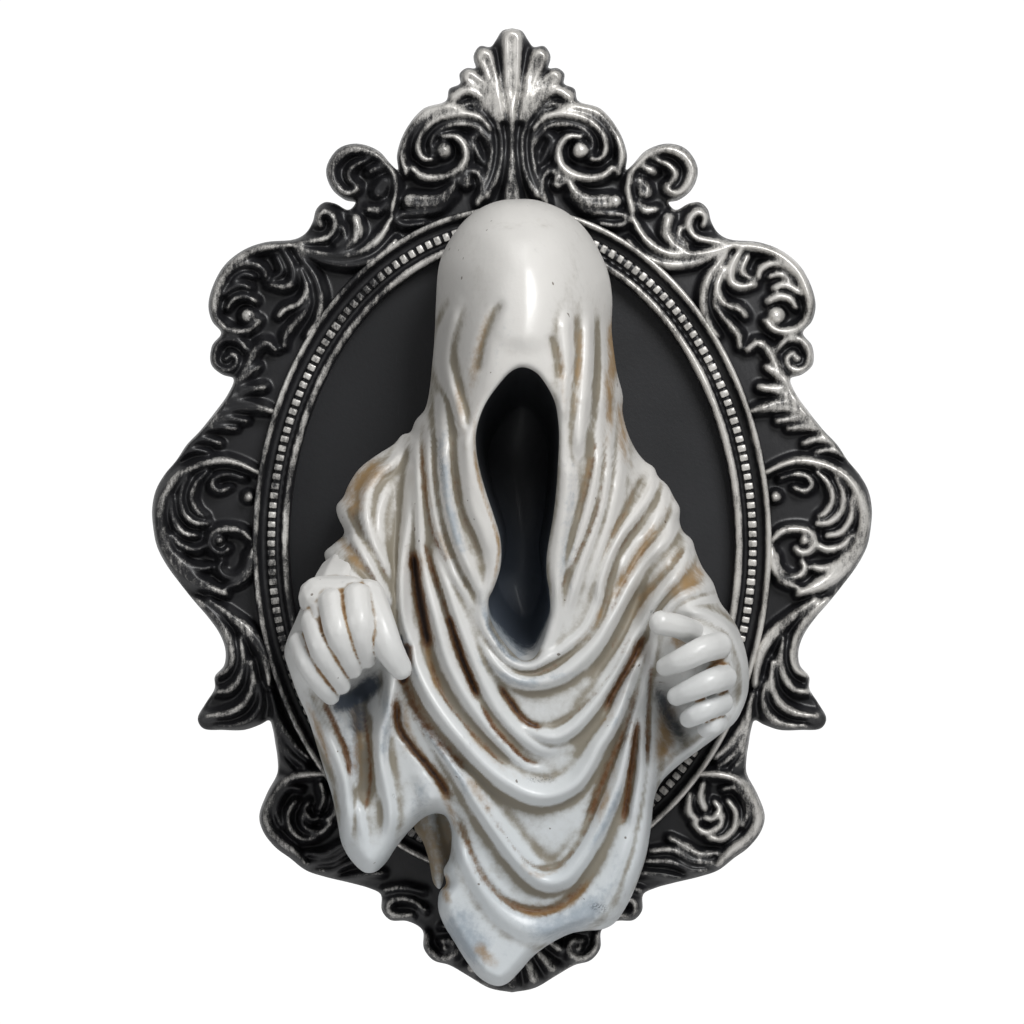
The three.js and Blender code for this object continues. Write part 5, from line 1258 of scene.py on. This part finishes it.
def robe_fields():
    """The robe on a net: its outline, opening, body, relief, and the paint's strokes."""
    net = Lattice(*ROBE_NET)
    x, z = net.x, net.z
    outline = smooth_line(ROBE_OUTLINE, 4, closed=True)
    outside = net.signed_distance(outline)
    hole = net.signed_distance(smooth_line(HOOD_OPENING, 5, closed=True))
    share = np.minimum(1, np.abs(x - BODY_MIDDLE) / table(BODY_WIDTHS, z))
    bulge = np.sqrt(1 - share**BODY_SQUARENESS)
    full = BODY_SIDE_DEPTH + (table(BODY_DEPTHS, z) - BODY_SIDE_DEPTH) * bulge
    for arm in ARMS:
        full = soft_max(full, arm_depth(arm, x, z))
    for sleeve in SLEEVES:
        full = soft_max(full, sleeve_depth(sleeve, x, z))
    for (cx, cz), half_width, half_height, most in PRESSED:
        away = np.hypot((x - cx) / half_width, (z - cz) / half_height)
        full = full - most * (1 - ramp(0.5, 1.35, away))
    full = net.blurred(full, BODY_SOFTNESS)
    folds = fold_field(net)
    cut, dark = groove_fields(net)
    from_rim = np.clip(np.abs(hole - OPENING_RIM_AWAY) / OPENING_RIM_HALF, 0, 1)
    rim = OPENING_RIM * (1 - from_rim**2) ** 2 * ramp(58, 36, z)
    recess = glaze_field(net, RECESSES)
    shape = folds + rim - cut - RECESS_DEPTH * recess
    shape = net.blurred(shape, 0.4)
    paint = {
        "stain": np.maximum(glaze_field(net, STAINS), net.blurred(dark, 2.2)),
        "deep": dark,
        "cool": glaze_field(net, TINT_AND_SHADE_STROKES),
        "soot": glaze_field(net, SMUDGES),
        # painted shade in the recesses under and between the fingers
        "inside": recess,
    }
    return net, outside, hole, full, shape, paint


def build_robe():
    """The cloth's front with its edges turned back to the board, and the hood's lining."""
    net, outline, hole, full, shape, paint = robe_fields()
    outside = np.maximum(outline, -hole)
    bm = sheet(net, outside, ROBE_CELL, ROBE_LAYERS)
    co = coordinates(bm)
    x, z = co[:, 0].copy(), co[:, 1].copy()
    dx, dz = net.slope(outline)
    inset = np.maximum(0, -net.read(outline, x, z))
    roll_width = table(EDGE_ROLLS, z)
    share = np.clip(inset / roll_width, 0, 1)
    moved = roll_width * (1 - np.cos(share * math.pi / 2))
    shift = np.where(share < 1, inset - moved, 0.0) * ramp(1, 0.55, share)
    gx, gz = net.read(dx, x, z), net.read(dz, x, z)
    size = np.maximum(np.hypot(gx, gz), 0.3)
    x += shift * gx / size
    z += shift * gz / size
    inset = np.maximum(0, -net.read(outline, x, z))
    share = np.clip(inset / roll_width, 0, 1)
    edge = table(EDGE_DEPTHS, z)
    roll = np.sqrt(1 - (1 - share) ** 2)
    front = net.read(full, x, z)
    relief = net.read(shape, x, z)
    depth = edge + (front - edge) * roll + relief * ramp(0, 0.3, share)
    to_hole = np.maximum(0, net.read(hole, x, z))
    depth -= OPENING_LIP * (1 - np.sqrt(1 - (1 - np.clip(to_hole / OPENING_LIP, 0, 1)) ** 2))
    # How sunk each place is: it sets the grey-brown dirt and painted shade in the valleys
    sunk = net.blurred(shape, 3.4) - net.blurred(shape, 0.8)
    crease = net.blurred(shape, 1.5) - shape
    valley = np.clip(net.read(sunk, x, z) / VALLEY_SUNK, 0, 1)
    valley = valley + 0.5 * np.clip(net.read(crease, x, z) / CREASE_SUNK, 0, 1)
    everyone = bm.verts[:]
    wide = net.read(net.blurred(shape, 8.0) - net.blurred(shape, 2.0), x, z)
    mark(bm, everyone, valley=valley, broad=np.clip(wide / BROAD_SUNK, 0, 1))
    for name, field in paint.items():
        mark(bm, everyone, **{name: net.read(field, x, z)})
    chart = {v: (a, b, d) for v, a, b, d in zip(everyone, x, z, depth)}
    rims = [e for e in bm.edges if e.is_boundary]
    round_hole = [e for e in rims if all(at_hole(net, hole, chart, v) for v in e.verts)]
    held = set(round_hole)
    round_edge = [e for e in rims if e not in held]
    set_coordinates(bm, place(x, z, depth))

    edges, drawn = round_edge, chart
    for step in range(1, WALL_STEPS + 1):
        verts, edges = drawn_out(bm, edges)
        drawn = sources(verts, drawn)
        a, b, d = np.array(list(drawn.values())).T
        t = step / WALL_STEPS
        gx, gz = net.read(dx, a, b), net.read(dz, a, b)
        size = np.maximum(np.hypot(gx, gz), 0.3)
        draw_in = WALL_DRAW_IN * (1 - math.cos(t * math.pi / 2))
        to_back = np.minimum(back_depth(net, full, a, b, CLOTH_THICKNESS), d - 1)
        new_depth = d + (to_back - d) * math.sin(t * math.pi / 2)
        for v, p in zip(verts, place(a - draw_in * gx / size, b - draw_in * gz / size, new_depth)):
            v.co = p
        mark(bm, verts, stain=net.read(paint["stain"], a, b) * 0.5, deep=0, soot=0)

    middle_x, middle_z = LINING_MIDDLE
    edges, drawn = round_hole, chart
    for step in range(1, LINING_STEPS + 1):
        verts, edges = drawn_out(bm, edges)
        drawn = sources(verts, drawn)
        a, b, d = np.array(list(drawn.values())).T
        t = step / LINING_STEPS
        shrink = 1 - LINING_SHRINK * t**2
        new_depth = d + (LINING_DEPTH - d) * t**1.15
        new_x = middle_x + (a - middle_x) * shrink
        new_z = middle_z + (b - middle_z) * shrink
        for v, p in zip(verts, place(new_x, new_z, new_depth)):
            v.co = p
        # Painted shade: the lining darkens the deeper it goes into the hood, more slowly towards its lower
        # end
        reach = 6 + 22 * ramp(-14, -40, b)
        shade = ramp(0.4 * t, 1, (d - new_depth) / reach)
        mark(bm, verts, valley=0, broad=0, stain=0, deep=0, soot=0, inside=shade)
    bmesh.ops.triangle_fill(bm, edges=edges, use_beauty=True, normal=(0, -1, 0))
    bmesh.ops.recalc_face_normals(bm, faces=bm.faces)
    piece = finish_piece("robe_front", bm, ROBE_PAINT)
    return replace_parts(piece, "ghost_figure"), (net, outline, full)


def at_hole(net, hole, chart, v):
    """Whether a vertex of the front's border is on the hood's opening."""
    x, z, _ = chart[v]
    return net.read(hole, np.array([x]), np.array([z]))[0] < 1.0


def sources(verts, before):
    """For each new vertex, the place on the front's border that it was drawn out from."""
    after = {}
    for v in verts:
        after[v] = next(before[e.other_vert(v)] for e in v.link_edges if e.other_vert(v) in before)
    return after


def back_depth(net, full, x, z, thickness):
    """Depth of the figure's back: on the board inside the oval, and over the moulding outside it."""
    out = oval_out(x, z)
    held = BOARD_FACE + (OVER_FRAME_DEPTH - BOARD_FACE) * ramp(-5, -2, out)
    hanging = net.read(full, x, z) - thickness - 4
    return held + (np.maximum(hanging, held) - held) * ramp(HOLLOW_TOP + 4, HOLLOW_TOP - 4, z)


def build_robe_back(shared):
    """The hidden side of the cloth, left plain."""
    net, outline, full = shared
    bm = sheet(net, outline + BACK_INSET, BACK_CELL, ROBE_LAYERS)
    co = coordinates(bm)
    x, z = co[:, 0], co[:, 1]
    depth = back_depth(net, full, x, z, CLOTH_THICKNESS)
    edge = table(EDGE_DEPTHS, z)
    depth = np.minimum(depth, edge - 1.5 + np.maximum(0, -net.read(outline, x, z) - 3) * 1.2)
    set_coordinates(bm, place(x, z, depth))
    bmesh.ops.recalc_face_normals(bm, faces=bm.faces)
    if sum(f.normal.y for f in bm.faces) < 0:
        bmesh.ops.reverse_faces(bm, faces=bm.faces)
    mark(bm, bm.verts[:], valley=0.35, stain=0.3, deep=0, inside=0)
    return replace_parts(finish_piece("robe_back", bm, ROBE_PAINT), "ghost_figure")


# The cloth's inner side, seen through the notch in the hem
INNER_CLOTH = [
    (-36.6, -97), (-28, -93), (-20.6, -97), (-21, -106), (-22.4, -113), (-24.6, -121),
    (-27, -129), (-29.2, -127), (-31, -118.6), (-33.2, -111.6), (-36.4, -106.6),
]


def build_inner_cloth():
    """A small creased patch behind the notch."""
    net = Lattice(*INNER_CLOTH_NET)
    outside = net.signed_distance(smooth_line(INNER_CLOTH, 5, closed=True))
    bm = sheet(net, outside, ROBE_CELL, ROBE_LAYERS)
    co = coordinates(bm)
    x, z = co[:, 0], co[:, 1]
    to_edge = np.clip(-net.read(outside, x, z) / INNER_CLOTH_ROLL, 0, 1)
    crease = INNER_CLOTH_CREASE * np.cos((x + 29.5 + (z + 110) * 0.25) * 0.62)
    roll = INNER_CLOTH_ROLL * (1 - np.sqrt(1 - (1 - to_edge) ** 2))
    depth = INNER_CLOTH_DEPTH + crease - roll
    valley = np.clip(-crease / INNER_CLOTH_CREASE, 0, 1)
    # Painted shade: the patch behind the hem is darkened with grey-brown, blue-grey and a little hood shade
    mark(bm, bm.verts[:], valley=valley, broad=0.8, stain=0.3, deep=0, cool=0.5, inside=0.08)
    set_coordinates(bm, place(x, z, depth))
    rims = [e for e in bm.edges if e.is_boundary]
    verts, rims = drawn_out(bm, rims)
    for v in verts:
        v.co.y += INNER_CLOTH_THICKNESS * MM
    for e in rims:
        e.smooth = False
    mark(bm, verts, valley=0.5, broad=0.8, inside=0.3)
    bmesh.ops.triangle_fill(bm, edges=rims, use_beauty=True, normal=(0, 1, 0))
    bmesh.ops.recalc_face_normals(bm, faces=bm.faces)
    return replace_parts(finish_piece("inner_cloth", bm, ROBE_PAINT), "ghost_figure")


# Hands: each finger's points as x, z, depth with a radius, drawn as the front view shows them
HANDS = {
    "left": [
        [(-61, -14, 60, 12), (-64, -20, 72, 12), (-67, -27, 82, 10)],
        [(-72, -20, 80, 8), (-60, -20, 82, 8)],
        [(-58, -20, 88, 5.6), (-57, -30, 95, 5.4), (-55.6, -38, 92, 4.6), (-54.4, -43, 87, 3.8)],
        [(-67, -22, 87, 5.6), (-65, -33, 95, 5.2), (-61.6, -42, 91, 4.4), (-59.4, -47, 86, 3.6)],
        [(-74, -29, 84, 5.2), (-71, -39, 92, 4.9), (-66.4, -48, 88, 4.2), (-63.6, -53, 83, 3.5)],
        [(-79, -37, 80, 4.6), (-76, -45, 88, 4.4), (-71, -53, 85, 3.9), (-67.6, -57, 80, 3.4)],
        [(-54, -20, 82, 7), (-49.6, -31, 90, 6.4), (-45.6, -40, 92, 5.4), (-41.6, -46.6, 90, 4.4)],
    ],
    "right": [
        [(66, -29, 58, 11), (71, -40, 70, 11), (74, -51, 74, 9)],
        [(75, -42, 80, 7), (74.6, -58, 76, 7)],
        [(75, -37, 68, 6), (68, -33.4, 80, 5), (61.6, -30.8, 92, 4.6), (55.6, -29.6, 95, 4.7)],
        [(77, -38, 86, 5.3), (71, -39.8, 93, 5.1), (63.5, -43.4, 94, 4.6), (57.4, -46, 90, 3.8)],
        [(79, -50, 84, 5.1), (74, -51.6, 92, 4.9), (67, -54.6, 92, 4.4), (61.4, -57, 89, 3.7)],
        [(78, -59.4, 80, 4.7), (73, -61.4, 88, 4.5), (69, -63.6, 88.6, 4.2), (66, -65.4, 86, 3.6)],
        [(76.6, -66.6, 76, 4.2), (74.6, -67.8, 83, 4.0), (72.6, -69, 82, 3.6)],
    ],
}


def build_hand(name, chains):
    """A hand: balls along each finger and the palm, joined under one skin and smoothed."""
    bm = bmesh.new()
    share = (CAMERA_DISTANCE - HAND_DEPTH) / (CAMERA_DISTANCE - VIEW_PLANE_DEPTH)
    for chain in chains:
        points = smooth_line(np.array(chain, float), 9)
        real = place(points[:, 0], points[:, 1], points[:, 2])
        for at, radius in zip(real, points[:, 3]):
            size = radius * FINGER_FULLNESS * share * MM
            matrix = Matrix.Translation(Vector(at)) @ Matrix.Scale(size, 4)
            bmesh.ops.create_icosphere(bm, subdivisions=2, radius=1, matrix=matrix)
    mesh = bpy.data.meshes.new(name + "_balls")
    bm.to_mesh(mesh)
    bm.free()
    rough = bpy.data.objects.new(name + "_balls", mesh)
    bpy.context.scene.collection.objects.link(rough)
    remesh = rough.modifiers.new("skin", "REMESH")
    remesh.mode = "VOXEL"
    remesh.voxel_size = HAND_CELL * MM
    graph = bpy.context.evaluated_depsgraph_get()
    made = bpy.data.meshes.new_from_object(rough.evaluated_get(graph))
    bpy.data.objects.remove(rough)
    bm = bmesh.new()
    bm.from_mesh(made)
    for layer in ROBE_LAYERS:
        bm.verts.layers.float.new(layer)
    bpy.data.meshes.remove(made)
    for _ in range(HAND_SMOOTHING):
        bmesh.ops.smooth_vert(
            bm, verts=bm.verts, factor=0.5, use_axis_x=True, use_axis_y=True, use_axis_z=True
        )
    co = coordinates(bm)
    soft = co.copy()
    links = np.array([[e.verts[0].index, e.verts[1].index] for e in bm.edges])
    count = np.bincount(links.ravel(), minlength=len(co))[:, None]
    for _ in range(12):
        total = np.zeros_like(soft)
        np.add.at(total, links[:, 0], soft[links[:, 1]])
        np.add.at(total, links[:, 1], soft[links[:, 0]])
        soft = 0.4 * soft + 0.6 * total / count
    bm.normal_update()
    normals = np.array([v.normal for v in bm.verts])
    sunk = ((soft - co) * normals).sum(axis=1) / MM
    valley = np.clip(sunk / FINGER_CREASE, 0, 1)
    # The creases between the fingers get brown glaze, and grey-brown painted shade through the valley layer
    mark(bm, bm.verts[:], valley=valley, stain=valley * 0.8, deep=valley**2 * 0.5, inside=0)
    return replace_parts(finish_piece(name, bm, ROBE_PAINT), "ghost_figure")


# Assembly

pieces = [build_carving(), build_moulding(), build_beads()]
robe, shared_fields = build_robe()
pieces += [robe, build_robe_back(shared_fields), build_inner_cloth()]
pieces += [build_hand(f"{side}_hand", chains) for side, chains in HANDS.items()]
for piece in pieces:
    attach(piece, "root")

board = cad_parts["oval_back_board"]
board.data.materials.clear()
board.data.materials.append(BOARD_PAINT)


# Studio


def build_studio():
    """Pale floor, a white surround behind the object, three soft lamps and the front camera."""
    scene = bpy.context.scene
    floor_mesh = bpy.data.meshes.new("floor")
    bm = bmesh.new()
    bmesh.ops.create_grid(bm, x_segments=1, y_segments=1, size=FLOOR_REACH)
    bm.to_mesh(floor_mesh)
    bm.free()
    floor = bpy.data.objects.new("floor", floor_mesh)
    floor.location = (0, 0, FLOOR_LEVEL)
    scene.collection.objects.link(floor)
    paint = bpy.data.materials.new("pale_floor")
    paint.use_nodes = True
    shader = paint.node_tree.nodes["Principled BSDF"]
    shader.inputs["Base Color"].default_value = hex_colour("#f2f2f2")
    shader.inputs["Roughness"].default_value = 0.9
    floor_mesh.materials.append(paint)

    world = bpy.data.worlds.new("studio")
    world.use_nodes = True
    tree = world.node_tree
    aim = add(tree, "ShaderNodeTexCoord").outputs["Generated"]
    behind = add(tree, "ShaderNodeSeparateXYZ", Vector=aim).outputs["Y"]
    brightness = {"From Min": 0.80, "From Max": 0.95, "To Min": 0.22, "To Max": 1.05}
    bright = add(tree, "ShaderNodeMapRange", brightness, Value=behind)
    tree.nodes["Background"].inputs["Color"].default_value = (1, 1, 1, 1)
    tree.links.new(bright.outputs["Result"], tree.nodes["Background"].inputs["Strength"])
    scene.world = world
    scene.view_settings.view_transform = "Standard"

    for name, at, size, power in LAMPS:
        light = bpy.data.lights.new(name, "AREA")
        light.energy = power
        light.size = size
        lamp = bpy.data.objects.new(name, light)
        lamp.location = at
        aim = Vector((0, -0.04, 0)) - Vector(at)
        lamp.rotation_euler = aim.to_track_quat("-Z", "Y").to_euler()
        scene.collection.objects.link(lamp)

    camera_data = bpy.data.cameras.new("camera")
    camera_data.sensor_width = SENSOR_WIDTH
    camera_data.lens = SENSOR_WIDTH * (CAMERA_DISTANCE - VIEW_PLANE_DEPTH) / VIEW_WIDTH
    camera = bpy.data.objects.new("camera", camera_data)
    camera.location = (0, -CAMERA_DISTANCE * MM, CAMERA_HEIGHT * MM)
    camera.rotation_euler = (math.pi / 2, 0, 0)
    scene.collection.objects.link(camera)
    scene.camera = camera


build_studio()
